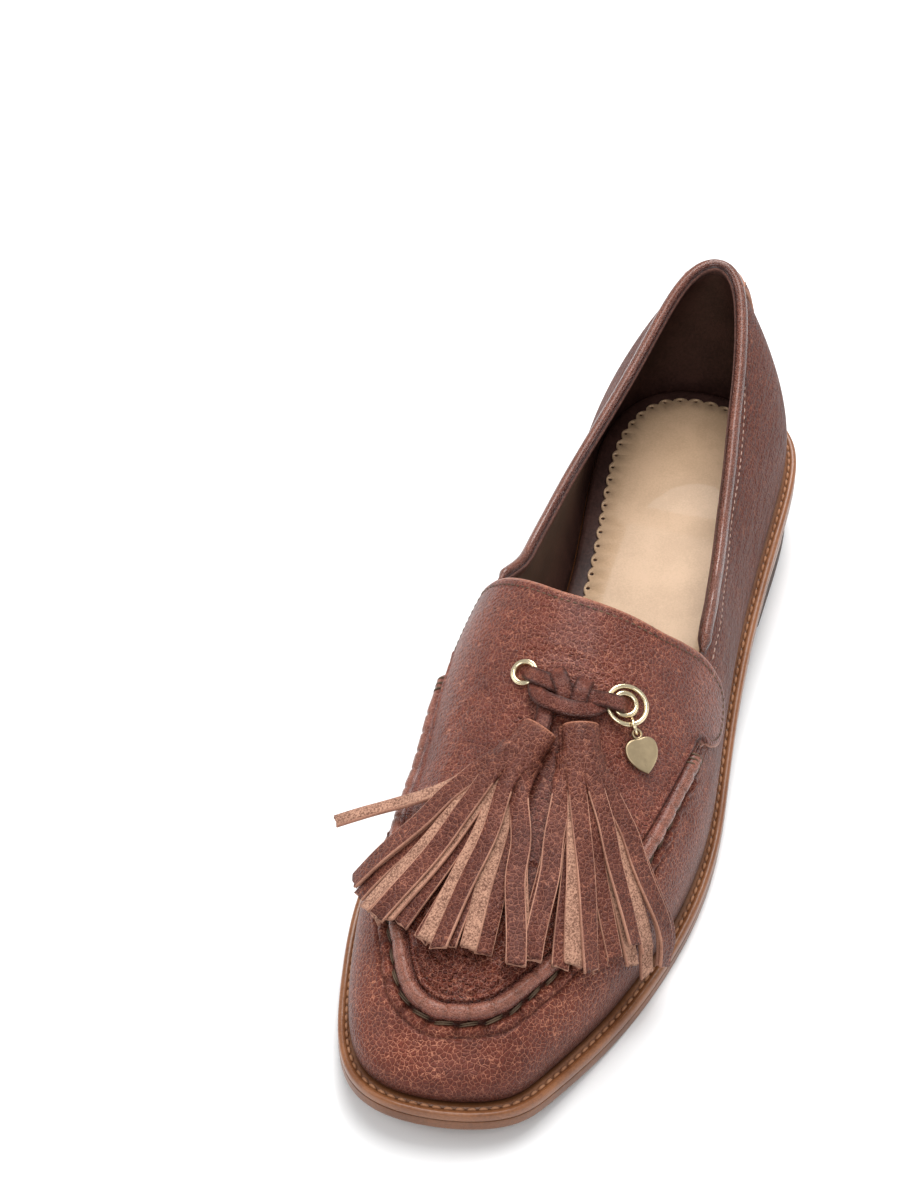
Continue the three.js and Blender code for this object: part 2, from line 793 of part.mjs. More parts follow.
function charmFrame() {
  const eyelet = plugFrame('lateral')
  const aim = overFace(...charmTip, plugTop + 2 * gap + heartThick / 2).centre
  const flat = aim.clone().sub(eyelet.point)
  flat.addScaledVector(eyelet.out, -flat.dot(eyelet.out)).normalize()
  const out = eyelet.out.clone().addScaledVector(flat, -(ringHigh - ringLow) / (2 * ringRadius)).normalize()
  const axis = eyelet.out.clone().cross(flat).normalize()
  const slope = axis.clone().cross(out).normalize()
  const centre = eyelet.point.clone()
    .addScaledVector(eyelet.out, (ringLow + ringHigh) / 2)
    .addScaledVector(flat, ringShift)
  const hold = centre.clone().addScaledVector(slope, ringRadius)
  const hang = aim.sub(hold)
  hang.addScaledVector(axis, -hang.dot(axis)).normalize()
  return { centre, out, slope, hold, hang, axis, face: axis.clone().cross(hang).negate().normalize() }
}

function makeRing() {
  const { centre, slope, out } = charmFrame()
  return placed(ringBody(ringRadius, ringWire, 20, 6), centre, slope, out)
}

const linkHold = linkRadius - linkWire - ringWire - gap

function makeLink() {
  const { hold, hang, axis, face } = charmFrame()
  const middle = hold.clone().addScaledVector(hang, linkHold)
  const lean = 0.5
  const normal = axis.clone().multiplyScalar(Math.cos(lean)).addScaledVector(face, Math.sin(lean)).normalize()
  return placed(ringBody(linkRadius, linkWire, 12, 5), middle, hang, normal)
}

// The heart is a plate with its point at the end, hung by a small eye between its lobes
function makeHeart() {
  const { hold, hang, face } = charmFrame()
  const w = heartWidth / 2
  const l = heartLength
  const eyeBore = 0.85
  const eyeRim = 0.6
  const shape = new THREE.Shape()
  shape.moveTo(0.12 * l, 0)
  shape.bezierCurveTo(0.08 * l, 0.4 * w, 0.1 * l, w, 0.4 * l, w)
  shape.bezierCurveTo(0.68 * l, w, 0.9 * l, 0.4 * w, l, 0)
  shape.bezierCurveTo(0.9 * l, -0.4 * w, 0.68 * l, -w, 0.4 * l, -w)
  shape.bezierCurveTo(0.1 * l, -w, 0.08 * l, -0.4 * w, 0.12 * l, 0)
  const neck = new THREE.Shape()
  neck.absarc(0, 0, eyeBore + eyeRim, 0, 2 * Math.PI)
  const hole = new THREE.Path()
  hole.absarc(0, 0, eyeBore, 0, 2 * Math.PI, true)
  neck.holes.push(hole)
  const plates = [new THREE.Shape(shape.getPoints(6)), neck].map(outline => weldGeometry(
    new THREE.ExtrudeGeometry(outline, { depth: heartThick, bevelEnabled: false, curveSegments: 5 }),
  ))
  const body = joined(plates).translate(0, 0, -heartThick / 2)
  const start = hold.clone().addScaledVector(hang, linkHold + linkRadius)
  return placed(body, start, hang, face)
}

function weldGeometry(geometry) {
  const place = geometry.attributes.position
  const corner = (_, i) => new THREE.Vector3().fromBufferAttribute(place, i)
  const points = Array.from({ length: place.count }, corner)
  const index = geometry.index ? [...geometry.index.array] : points.map((_, i) => i)
  const faces = []
  for (let i = 0; i < index.length; i += 3) faces.push(index.slice(i, i + 3))
  const sheet = weldSheet({ points, faces })
  return bodyOf(sheet.points, sheet.faces.flat())
}

const strapDetail = 1.4

// A flat strap through points over the last: each is a place and a height over the face
function strapBody(points, width, thick, sides = 4) {
  const curve = new THREE.CatmullRomCurve3(points.map(p => p.centre))
  const outs = new THREE.CatmullRomCurve3(points.map(p => p.out))
  const stations = Math.round(points.length * strapDetail)
  const rings = []
  for (let i = 0; i <= stations; i += 1) {
    const f = i / stations
    const centre = curve.getPoint(f)
    const along = curve.getTangent(f)
    const across = outs.getPoint(f).cross(along).normalize()
    const out = along.clone().cross(across).normalize()
    rings.push(Array.from({ length: sides }, (_, k) => {
      const angle = 2 * Math.PI * (k + 0.5) / sides
      const size = sides === 4 ? Math.SQRT1_2 : 0.5
      const a = Math.cos(angle) * size * width
      const b = Math.sin(angle) * size * thick
      return centre.clone().addScaledVector(across, a).addScaledVector(out, b)
    }))
  }
  return bodyThrough(rings)
}

function overFace(x, y, height) {
  const frame = faceOver(x, y)
  return { centre: frame.point.clone().addScaledVector(frame.out, height), out: frame.out.clone() }
}

// The lace runs between the eyelets over the jump ring: a bar with two turns wound on it,
// a band below and a stem to the medial tassel. Each row is a place and a height, counted in
// lace thicknesses over the plug.
const laceLow = plugTop + gap + laceThick / 2
const laceRows = {
  bar: [
    [-8.1, 107.7, 1.1], [-4, 106, 1.1], [-0.7, 104.4, 1.3], [2.4, 103.8, 1.3],
    [6, 104.8, 1.3], [10, 105.7, 1.4], [13.3, 106.5, 1.4],
  ],
  turn: [[-3.4, 108.3, 0.1], [-1.8, 107.1, 1.6], [0.3, 105, 2.3], [3.4, 103.2, 2.1], [5, 102, 1]],
  wrap: [[6.6, 107.9, 0.1], [5.4, 105.6, 1.9], [2.8, 103.6, 2.6], [-0.4, 102.6, 1.6], [-2, 102, 0.8]],
  band: [
    [-5, 104.6, 0.2], [-3.6, 102.4, 0.5], [0, 100.7, 0.7], [4.6, 100.6, 0.7], [8, 102.4, 0.6], [9, 104.6, 0.2],
  ],
  stem: [[-0.6, 101.4, 0.1], [-1, 99.2, 0.4], [-1.3, 97.2, 0.8]],
}

function makeKnot() {
  const bodies = Object.values(laceRows).map(rows => strapBody(
    rows.map(([x, y, height]) => overFace(x, y, laceLow + height * laceThick)),
    laceWidth,
    laceThick,
    6,
  ))
  return joined(bodies)
}

// A tassel: a rolled head and strips of one length that fan from its foot over the vamp
const tasselRows = {
  medial: {
    top: [-2, 93.8],
    foot: [-4.8, 85.6],
    fan: { from: -2.30, to: -1.34, strips: 11 },
    stray: {
      over: [[-9, 85], [-14.5, 79], [-20.3, 74.4], [-24.4, 72.8]],
      past: [[-33.4, 72, 39.8], [-40.2, 69, 37.8], [-48.6, 66.8, 33.4]],
    },
  },
  lateral: {
    top: [6.6, 97.2],
    foot: [9.2, 88.7],
    fan: { from: -1.47, to: -0.77, strips: 9 },
  },
}
const headFlat = 0.8
const headLift = plugTop + gap + headRadius * headFlat * 1.1
const fringeLift = gap + seamRise + gap + stripThick

// Points of one strip: it leaves the head, then lies on the seam's height over the vamp
function stripPath(start, along, angle, side, layer, length) {
  const spread = reach => [0, 0.25, 0.5, 0.75, 1].map(g => {
    const turn = smooth(0, 0.4, g)
    const fade = (1 - g) ** 1.5
    const x = start.x + side.x * fade + g * reach * mix(along.x, Math.cos(angle), turn)
    const y = start.y + side.y * fade + g * reach * mix(along.y, Math.sin(angle), turn)
    return overFace(x, y, mix(headLift, fringeLift + layer * stripThick, smooth(0, 0.8, g)))
  })
  const reach = length * 0.9
  const first = spread(reach)
  const long = first.slice(1).reduce((sum, p, i) => sum + p.centre.distanceTo(first[i].centre), 0)
  return spread(reach * length / long)
}

function makeTassel(side) {
  const row = tasselRows[side]
  const top = overFace(...row.top, headLift)
  const foot = overFace(...row.foot, headLift)
  const along = foot.centre.clone().sub(top.centre).normalize()
  const across = along.clone().cross(top.out).normalize()
  const up = across.clone().cross(along).normalize()
  const headSides = 10
  const headRings = [[0, 0.94], [0.15, 1.04], [0.6, 0.96], [1, 1.1]].map(([f, size]) => {
    const centre = top.centre.clone().addScaledVector(along, f * headLength)
    return Array.from({ length: headSides }, (_, k) => {
      const angle = 2 * Math.PI * k / headSides
      return centre.clone()
        .addScaledVector(across, headRadius * size * Math.cos(angle))
        .addScaledVector(up, headRadius * size * headFlat * Math.sin(angle))
    })
  })
  const start = new THREE.Vector2(...row.foot)
  const bodies = [bodyThrough(headRings)]
  const { from, to, strips } = row.fan
  for (let k = 0; k < strips; k += 1) {
    const f = k / (strips - 1)
    const shift = across.clone().multiplyScalar((0.5 - f) * 1.4 * headRadius)
    const layer = (k % 2) * 1.5
    const length = stripLength * (1 - 0.03 * (k % 3))
    const points = stripPath(start, along, mix(from, to, f), shift, layer, length)
    bodies.push(strapBody(points, stripWidth, stripThick))
  }
  if (row.stray) {
    const over = row.stray.over.map(([x, y]) => overFace(x, y, fringeLift + stripThick))
    const past = row.stray.past.map(place => ({ centre: new THREE.Vector3(...place), out: over.at(-1).out }))
    bodies.push(strapBody([foot, ...over, ...past], stripWidth * 0.8, stripThick))
  }
  return joined(bodies)
}

const materials = {
  sole: new THREE.MeshStandardMaterial({ color: 0x8f5a36, roughness: 0.45, metalness: 0 }),
  heel: new THREE.MeshStandardMaterial({ color: 0xa06a48, roughness: 0.4, metalness: 0 }),
  lift: new THREE.MeshStandardMaterial({ color: 0x3a2a24, roughness: 0.8, metalness: 0 }),
  leather: new THREE.MeshStandardMaterial({ color: 0x6b3328, roughness: 0.5, metalness: 0 }),
  sock: new THREE.MeshStandardMaterial({ color: 0xd2b18c, roughness: 0.55, metalness: 0 }),
  lining: new THREE.MeshStandardMaterial({ color: 0x3f241d, roughness: 0.7, metalness: 0 }),
  gold: new THREE.MeshStandardMaterial({ color: 0xd8bf84, roughness: 0.2, metalness: 1 }),
}

const group = new THREE.Group()

function add(name, material, geometry) {
  const mesh = new THREE.Mesh(geometry, materials[material])
  mesh.name = name
  group.add(mesh)
}

add('outsole', 'sole', makeOutsole())
add('welt', 'sole', makeWelt())
add('heel_stack', 'heel', makeStack())
add('top_lift', 'lift', makeLift())
add('insole', 'lining', makeInsole())
add('sock', 'sock', makeSock())
add('upper', 'leather', makeUpper())
add('plug', 'leather', makePlug())
add('moc_seam', 'leather', makeSeam())
add('collar_binding', 'leather', makeBinding())
add('back_tab', 'leather', makeTab())
add('eyelet_medial', 'gold', makeEyelet('medial'))
add('eyelet_lateral', 'gold', makeEyelet('lateral'))
add('lace_knot', 'leather', makeKnot())
add('tassel_medial', 'leather', makeTassel('medial'))
add('tassel_lateral', 'leather', makeTassel('lateral'))
add('jump_ring', 'gold', makeRing())
add('charm_link', 'gold', makeLink())
add('heart_charm', 'gold', makeHeart())

// The origin is the middle of the shoe's box, on the floor
const box = new THREE.Box3().setFromObject(group)
const middle = box.getCenter(new THREE.Vector3())
group.position.set(-middle.x, -middle.y, 0)

export default group
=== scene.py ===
import math
import bmesh
import bpy
import numpy as np
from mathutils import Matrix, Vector
from mathutils.geometry import delaunay_2d_cdt


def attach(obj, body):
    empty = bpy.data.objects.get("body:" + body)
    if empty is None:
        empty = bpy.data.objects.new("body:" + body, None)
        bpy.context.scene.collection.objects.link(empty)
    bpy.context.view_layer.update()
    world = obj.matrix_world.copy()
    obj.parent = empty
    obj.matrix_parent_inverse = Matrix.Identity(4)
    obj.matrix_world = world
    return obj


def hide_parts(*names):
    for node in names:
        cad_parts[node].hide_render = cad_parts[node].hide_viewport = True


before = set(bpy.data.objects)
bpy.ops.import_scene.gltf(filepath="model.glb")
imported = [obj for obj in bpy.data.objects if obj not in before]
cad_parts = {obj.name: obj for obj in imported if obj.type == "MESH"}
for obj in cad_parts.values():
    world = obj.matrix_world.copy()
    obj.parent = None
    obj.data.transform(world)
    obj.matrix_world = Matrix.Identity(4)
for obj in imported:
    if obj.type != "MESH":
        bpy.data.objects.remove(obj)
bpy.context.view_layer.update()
print("frame loaded")

# Sizes in millimetres, from the source of the solids; placed() turns points to metres
shoe = {
    "soleLength": 264, "ballWidth": 86.2, "heelWidth": 62.2, "heelHeight": 19.6, "toeSpring": 7.6,
    "outsoleThick": 3.6, "weltThick": 3.2, "weltShow": 3.6, "edgeRound": 0.7, "upperWall": 1.8,
    "instepHeight": 60, "collarHeight": 51, "collarWidth": 62.2, "waistBulge": 8,
    "insoleProud": 2, "sockThick": 0.8, "sockMargin": 4.6, "liftThick": 6, "heelTaper": 0.6,
    "plugThick": 1.3, "seamWidth": 4.4, "seamRise": 2.5, "seamEnd": 0.965, "bindingRadius": 1.2,
    "tabWidth": 26, "tabThick": 1.1, "gap": 0.3, "coverGap": 0.5, "breastAt": 0.745,
    "shift": (3.0089874, -132.0, 0.0),
}
featherStack = shoe["outsoleThick"] + shoe["weltThick"]
insoleTop = featherStack + shoe["insoleProud"]
plugTop = shoe["coverGap"] + shoe["plugThick"]

outlineRows = {
    "at": [0.03, 0.08, 0.16, 0.25, 0.34, 0.43, 0.52, 0.62, 0.74, 0.86, 0.94, 0.985],
    "medial": [0.622, 0.782, 0.914, 0.998, 0.970, 0.858, 0.719, 0.652, 0.780, 0.881, 0.752, 0.418],
    "lateral": [0.371, 0.557, 0.756, 0.914, 0.998, 0.993, 0.960, 1.025, 1.137, 1.119, 0.977, 0.592],
    "toeLean": -0.197, "heelLean": 0.080,
}
sectionRows = {
    "at": [0, 0.17, 0.25, 0.34, 0.43, 0.52, 0.62, 0.74, 0.86, 1],
    "height": [0.5, 0.5, 0.595, 0.728, 0.898, 0.997, 1.02, 0.995, 1.082, 1.193],
    "centre": [-0.07, -0.07, -0.09, -0.09, -0.09, -0.07, -0.02, 0.02, 0.05, 0.05],
    "medialRound": [2.6, 2.6, 2.3, 2.05, 2.2, 2.5, 2.3, 2.1, 2.1, 2.3],
    "lateralRound": [2.6, 2.6, 2.4, 2.2, 2, 1.9, 1.9, 1.9, 2.1, 2.3],
    "medialBulge": [0.19, 0.19, 0.1, 0.1, 0.56, 1, 1, 0.62, 0.38, 0.31],
    "lateralBulge": [0.19, 0.19, 0.25, 0.25, 0.31, 0.31, 0.31, 0.31, 0.31, 0.31],
    "toeFan": 0.19, "heelFan": 0.86, "fanSoft": 0.05,
}
toplineRows = {
    "at": [0.5, 0.585, 0.635, 0.68, 0.725, 0.78, 0.83, 0.875, 0.94, 0.975],
    "medial": [0.822, 0.798, 0.782, 0.750, 0.705, 0.608, 0.509, 0.420, 0.290, 0.175],
    "lateral": [0.982, 0.930, 0.882, 0.830, 0.773, 0.708, 0.638, 0.580, 0.465, 0.360],
    "medialHeight": [0.95, 0.784, 0.70, 0.649, 0.627, 0.657, 0.704, 0.769, 0.905, 0.990],
    "lateralHeight": [0.70, 0.768, 0.70, 0.649, 0.627, 0.657, 0.704, 0.769, 0.905, 0.990],
    "backAcross": 0.096, "backHeight": 1.035, "set": 0.979, "collarFrom": 0.53, "collarFull": 0.62,
}
seamRows = {
    "medial": [
        (0.012, 0.632), (0.05, 0.655), (0.10, 0.645), (0.2, 0.550), (0.3, 0.435), (0.4, 0.370), (0.458, 0.350),
    ],
    "lateral": [
        (0.012, 0.615), (0.05, 0.634), (0.10, 0.612), (0.2, 0.545), (0.3, 0.476), (0.38, 0.422), (0.433, 0.377),
    ],
    "toe": 0.606,
}
tongueSide = {
    "medial": [(0.471, 0.350), (0.492, 0.370), (0.512, 0.395), (0.525, 0.430)],
    "lateral": [(0.455, 0.289), (0.478, 0.246), (0.501, 0.241), (0.518, 0.266), (0.525, 0.308)],
}
tongueTop = {
    "medial": [(0.525, 0.430), (0.517, 0.565), (0.509, 0.680), (0.499, 0.818), (0.492, 0.926), (0.489, 1)],
    "lateral": [
        (0.525, 0.308), (0.519, 0.430), (0.506, 0.553), (0.497, 0.647), (0.492, 0.775), (0.489, 0.898),
        (0.489, 1),
    ],
}
throatRows = {
    "medial": [(0.489, 1), (0.492, 0.92), (0.498, 0.82), (0.505, 0.70), (0.512, 0.60), (0.522, 0.525)],
    "lateral": [(0.489, 1), (0.490, 0.88), (0.493, 0.76), (0.498, 0.64), (0.507, 0.53), (0.518, 0.455)],
    "inset": 0.009, "joins": [0.54, 0.57, 0.61], "throatSplit": 0.40, "collarSplit": 0.61,
}
sides = {"medial": -1, "lateral": 1}


def turnOf(share):
    return np.arccos(1 - 2 * np.asarray(share, float))


def shareOf(turn):
    return (1 - np.cos(turn)) / 2


def mix(a, b, f):
    return a + (b - a) * f


def smooth(low, high, v):
    u = np.clip((np.asarray(v, float) - low) / (high - low), 0, 1)
    return u * u * (3 - 2 * u)


def hill(v, centre, width):
    return np.exp(-((v - centre) / width) ** 2)


def unit(v):
    return v / np.maximum(np.linalg.norm(v, axis=-1, keepdims=True), 1e-12)


# A smooth curve through rows of numbers: natural at its ends, or closed with a period
def curveThrough(xs, ys, period=0):
    xs, ys = np.asarray(xs, float), np.asarray(ys, float)
    n = len(xs)
    step = np.append(np.diff(xs), period - xs[-1] + xs[0] if period else 1)
    after = np.roll(np.arange(n), -1)
    slope = (ys[after] - ys) / step.reshape([-1] + [1] * (ys.ndim - 1))
    system = np.zeros((n, n))
    right = np.zeros(ys.shape)
    for i in range(n):
        if not period and i in (0, n - 1):
            system[i, i] = 1
            continue
        system[i, i - 1] += step[i - 1]
        system[i, i] += 2 * (step[i - 1] + step[i])
        system[i, after[i]] += step[i]
        right[i] = 6 * (slope[i] - slope[i - 1])
    bend = np.linalg.solve(system, right)
    last = n - 1 if period else n - 2

    def curve(v):
        v = np.asarray(v, float)
        v = (v - xs[0]) % period + xs[0] if period else np.clip(v, xs[0], xs[-1])
        i = np.minimum(np.searchsorted(xs[1:], v), last)
        k = after[i]
        h = step[i]
        b = (v - xs[i]) / h
        if ys.ndim > 1:
            b, h = b[..., None], h[..., None]
        a = 1 - b
        bent = (a ** 3 - a) * bend[i] + (b ** 3 - b) * bend[k]
        return a * ys[i] + b * ys[k] + bent * h * h / 6

    return curve


# A path through (at, rise) rows, in turn and rise
def pathThrough(rows):
    points = np.array([(turnOf(at), rise) for at, rise in rows])
    n = len(points)

    def path(f):
        p = np.asarray(f, float) * (n - 1)
        i = np.clip(np.floor(p).astype(int), 0, n - 2)
        w = (p - i)[..., None]
        p0, p1 = points[np.maximum(i - 1, 0)], points[i]
        p2, p3 = points[np.minimum(i + 1, n - 1)], points[np.minimum(i + 2, n - 1)]
        v0, v1 = (p2 - p0) / 2, (p3 - p1) / 2
        return (2 * p1 - 2 * p2 + v0 + v1) * w ** 3 + (-3 * p1 + 3 * p2 - 2 * v0 - v1) * w ** 2 + v0 * w + p1

    return path


def column(name):
    return curveThrough(sectionRows["at"], sectionRows[name])


def widthAt(share):
    return mix(shoe["ballWidth"], shoe["heelWidth"], smooth(0.45, 0.75, share)) / 2


def undersideAt(y):
    share = np.clip(y / shoe["soleLength"], 0, 1)
    spring = np.maximum(0, 1 - share / 0.22) ** 1.9
    return shoe["toeSpring"] * spring + shoe["heelHeight"] * smooth(0.39, 0.89, share)


outlineTurns = turnOf(outlineRows["at"])
outlineWidths = widthAt(np.array(outlineRows["at"]))
outlineAcross = curveThrough(
    np.concatenate([[-math.pi], -outlineTurns[::-1], [0], outlineTurns]),
    np.concatenate([
        [outlineRows["heelLean"] * shoe["heelWidth"] / 2],
        -(np.array(outlineRows["medial"]) * outlineWidths)[::-1],
        [outlineRows["toeLean"] * shoe["ballWidth"] / 2],
        np.array(outlineRows["lateral"]) * outlineWidths,
    ]),
    2 * math.pi,
)


# A point of the sole's outline, moved in from the edge, and the way out from it
def outlineAt(turn, inset=0):
    small = 1e-4
    dx = (outlineAcross(turn + small) - outlineAcross(turn - small)) / (2 * small)
    dy = shoe["soleLength"] * np.sin(turn) / 2
    out = unit(np.stack([dy, -dx], -1))
    flat = np.stack([outlineAcross(turn), shoe["soleLength"] * shareOf(turn)], -1)
    return flat - np.asarray(inset)[..., None] * out, out


spineHeight, spineCentre = column("height"), column("centre")
rounds = column("medialRound"), column("lateralRound")
bulges = column("medialBulge"), column("lateralBulge")
toplineTurns = turnOf(toplineRows["at"])
toplineKeys = np.concatenate([toplineTurns, [math.pi], 2 * math.pi - toplineTurns[::-1]])
toplineAcross = curveThrough(toplineKeys, np.concatenate([
    toplineRows["lateral"], [toplineRows["backAcross"]], -np.array(toplineRows["medial"])[::-1],
]))
toplineHeight = curveThrough(toplineKeys, np.concatenate([
    toplineRows["lateralHeight"], [toplineRows["backHeight"]], toplineRows["medialHeight"][::-1],
]))
bindingRise = 2 * shoe["bindingRadius"] + shoe["gap"]


def spineZ(share):
    return undersideAt(share * shoe["soleLength"]) + featherStack + shoe["instepHeight"] * spineHeight(share)


def toplineAt(turn):
    key = np.where(turn < 0, turn + 2 * math.pi, turn)
    y = shoe["soleLength"] * toplineRows["set"] * shareOf(turn)
    z = undersideAt(y) + featherStack + shoe["collarHeight"] * toplineHeight(key) - bindingRise
    return np.stack([toplineAcross(key) * shoe["collarWidth"] / 2, y, z], -1)


def sided(pair, turn, share):
    medial, lateral = pair[0](share), pair[1](share)
    own = np.where(turn < 0, medial, lateral)
    return mix((medial + lateral) / 2, own, smooth(0, 0.5, np.sin(np.abs(turn))))


def bulgeShape(t):
    t = np.clip(t, 0, 1)
    return t ** 0.8 * (1 - t) ** 1.6 / (0.333 ** 0.8 * 0.667 ** 1.6)


def ribAt(turn):
    share = shareOf(turn)
    foot, out = outlineAt(turn, shoe["weltShow"])
    soft = sectionRows["fanSoft"]
    toeFan, heelFan = sectionRows["toeFan"], sectionRows["heelFan"]
    afterToe = (share + toeFan) / 2 + np.hypot((share - toeFan) / 2, soft)
    held = (afterToe + heelFan) / 2 - np.hypot((afterToe - heelFan) / 2, soft)
    spine = np.stack([
        spineCentre(held) * shoe["ballWidth"] / 2,
        held * shoe["soleLength"],
        spineZ(np.maximum(held, share)),
    ], -1)
    step = 0.01
    slope = (spineZ(held + step) - spineZ(held - step)) / (2 * step * shoe["soleLength"])
    return {
        "share": share, "foot": foot, "out": out, "spine": spine,
        "footZ": undersideAt(foot[..., 1]) + featherStack,
        "slope": np.where(spine[..., 1] > foot[..., 1], slope, 0),
        "round": sided(rounds, turn, share),
        "bulge": shoe["waistBulge"] * sided(bulges, turn, share),
    }


def ribPoint(rib, t):
    power = 2 / rib["round"]
    across = 1 - np.maximum(0, np.cos(math.pi * t / 2)) ** power
    up = np.maximum(0, np.sin(math.pi * t / 2)) ** power
    flat = mix(rib["foot"], rib["spine"][..., :2], across[..., None])
    tilt = rib["slope"] * (flat[..., 1] - rib["spine"][..., 1])
    footTilt = rib["slope"] * (rib["foot"][..., 1] - rib["spine"][..., 1])
    flat = flat + rib["out"] * (rib["bulge"] * bulgeShape(t))[..., None]
    z = tilt + mix(rib["footZ"] - footTilt, rib["spine"][..., 2], up)
    return np.concatenate([flat, z[..., None]], -1)


def riseOf(turn, rib):
    share = (toplineAt(turn)[..., 2] - rib["footZ"]) / (rib["spine"][..., 2] - rib["footZ"])
    return np.arcsin(np.clip(share, 0.01, 0.995) ** (rib["round"] / 2)) * 2 / math.pi


def toplineRise(turn):
    return riseOf(turn, ribAt(turn))


# The outer face of the upper: turn is the place round the sole, t the way up to the spine
def lastPoint(turn, t):
    turn, t = np.broadcast_arrays(np.asarray(turn, float), np.asarray(t, float))
    rib = ribAt(turn)
    point = ribPoint(rib, t)
    share = smooth(toplineRows["collarFrom"], toplineRows["collarFull"], rib["share"])
    rise = riseOf(turn, rib)
    pull = toplineAt(turn) - ribPoint(rib, rise)
    below = (np.maximum(t, 0) / rise) ** 1.5
    above = 1 - smooth(0, 1, (t - rise) / (1 - rise))
    return point + (share * np.where(t <= rise, below, above))[..., None] * pull


def lastFrame(turn, t):
    small = 1e-3
    along = unit(lastPoint(turn + small, t) - lastPoint(turn - small, t))
    up = lastPoint(turn, np.minimum(1, t + small)) - lastPoint(turn, t - small)
    rate = np.linalg.norm(up, axis=-1) / np.where(t + small > 1, small, 2 * small)
    return {
        "point": lastPoint(turn, t), "along": along, "up": unit(up),
        "out": unit(np.cross(along, unit(up))), "rate": rate,
    }


# The last's face over places on the floor, and its normals there
def faceOver(x, y):
    x, y = np.asarray(x, float), np.asarray(y, float)
    turn = np.where(x + 3 < 0, -1, 1) * turnOf(np.clip(y / shoe["soleLength"], 0.02, 0.6))
    t = np.full(turn.shape, 0.8)
    small = 1e-4
    for _ in range(40):
        here = lastPoint(turn, t)
        byTurn = (lastPoint(turn + small, t) - here) / small
        byT = (here - lastPoint(turn, t - small)) / small
        gapX, gapY = x - here[..., 0], y - here[..., 1]
        det = byTurn[..., 0] * byT[..., 1] - byTurn[..., 1] * byT[..., 0]
        dTurn = (gapX * byT[..., 1] - gapY * byT[..., 0]) / det
        dT = (byTurn[..., 0] * gapY - byTurn[..., 1] * gapX) / det
        turn = turn + np.clip(dTurn, -0.2, 0.2) * 0.8
        t = np.clip(t + np.clip(dT, -0.1, 0.1) * 0.8, 0.02, 1)
    return lastFrame(turn, t)


def overFace(x, y, height):
    face = faceOver(x, y)
    return face["point"] + face["out"] * np.asarray(height)[..., None], face["out"]


def placed(points):
    return (np.asarray(points) + np.array(shoe["shift"])) / 1000


# Shading: one class for a node's output with arithmetic, and one for a material's graph
class Wire:
    def __init__(self, graph, socket):
        self.graph = graph
        self.socket = socket

    def maths(self, operation, *values):
        return self.graph.node("ShaderNodeMath", {"operation": operation}, dict(enumerate(values)))

    def __add__(self, other):
        return self.maths("ADD", self, other)

    def __sub__(self, other):
        return self.maths("SUBTRACT", self, other)

    def __rsub__(self, other):
        return self.maths("SUBTRACT", other, self)

    def __mul__(self, other):
        return self.maths("MULTIPLY", self, other)

    __radd__ = __add__
    __rmul__ = __mul__


class Graph:
    def __init__(self, name):
        self.material = bpy.data.materials.new(name)
        self.material.use_nodes = True
        self.tree = self.material.node_tree
        self.tree.nodes.clear()

    def node(self, kind, settings=None, inputs=None, output=0):
        made = self.tree.nodes.new(kind)
        for key, value in (settings or {}).items():
            setattr(made, key, value)
        for key, value in (inputs or {}).items():
            if isinstance(value, Wire):
                self.tree.links.new(value.socket, made.inputs[key])
            else:
                made.inputs[key].default_value = value
        return Wire(self, made.outputs[output]) if made.outputs else None

    def place(self):
        return self.node("ShaderNodeTexCoord", output="Object")

    def value(self, name):
        return self.node("ShaderNodeAttribute", {"attribute_name": name}, output="Fac")

    def noise(self, place, size, detail=3, rough=0.55):
        inputs = {"Vector": place, "Scale": 1 / size, "Detail": detail, "Roughness": rough}
        return self.node("ShaderNodeTexNoise", None, inputs, "Fac")

    def cells(self, place, size):
        inputs = {"Vector": place, "Scale": 1 / size}
        return self.node("ShaderNodeTexVoronoi", {"feature": "DISTANCE_TO_EDGE"}, inputs, "Distance")

    def ramp(self, value, low, high, start=0, end=1):
        inputs = {"Value": value, "From Min": low, "From Max": high, "To Min": start, "To Max": end}
        return self.node("ShaderNodeMapRange", {"interpolation_type": "SMOOTHSTEP"}, inputs)

    def blend(self, factor, a, b):
        a, b = [c if isinstance(c, Wire) else (*c, 1) for c in (a, b)]
        return self.node("ShaderNodeMix", {"data_type": "RGBA"}, {0: factor, 6: a, 7: b}, 2)

    def stretch(self, place, scale):
        return self.node("ShaderNodeVectorMath", {"operation": "MULTIPLY"}, {0: place, 1: scale})

    def shift(self, place, by):
        return self.node("ShaderNodeVectorMath", {"operation": "ADD"}, {0: place, 1: by})

    def bump(self, height, distance, normal=None, strength=1):
        inputs = {"Height": height, "Distance": distance, "Strength": strength}
        if normal:
            inputs["Normal"] = normal
        return self.node("ShaderNodeBump", None, inputs)

    def finish(self, **inputs):
        named = {key.replace("_", " "): value for key, value in inputs.items()}
        shader = self.node("ShaderNodeBsdfPrincipled", None, named)
        self.node("ShaderNodeOutputMaterial", None, {"Surface": shader})
        return self.material


# Leather: deep and light tones over noise, a net of veins round its cells, pebbles as bump
leatherLook = {
    "deep": (0.09, 0.0185, 0.0105), "warm": (0.175, 0.039, 0.0215), "vein": (0.56, 0.23, 0.135),
    "cell": 0.0013, "veinWidth": 0.06, "veinShare": 0.85, "grain": 0.0004, "rough": 0.42, "coat": 0.08,
    "specular": 0.2, "coatRough": 0.25, "crinkle": 0.0, "crinkleWay": (0.3, 1.5, 0.8), "crinkleSide": False,
    "sideTone": (0.075, 0.021, 0.0145),
}


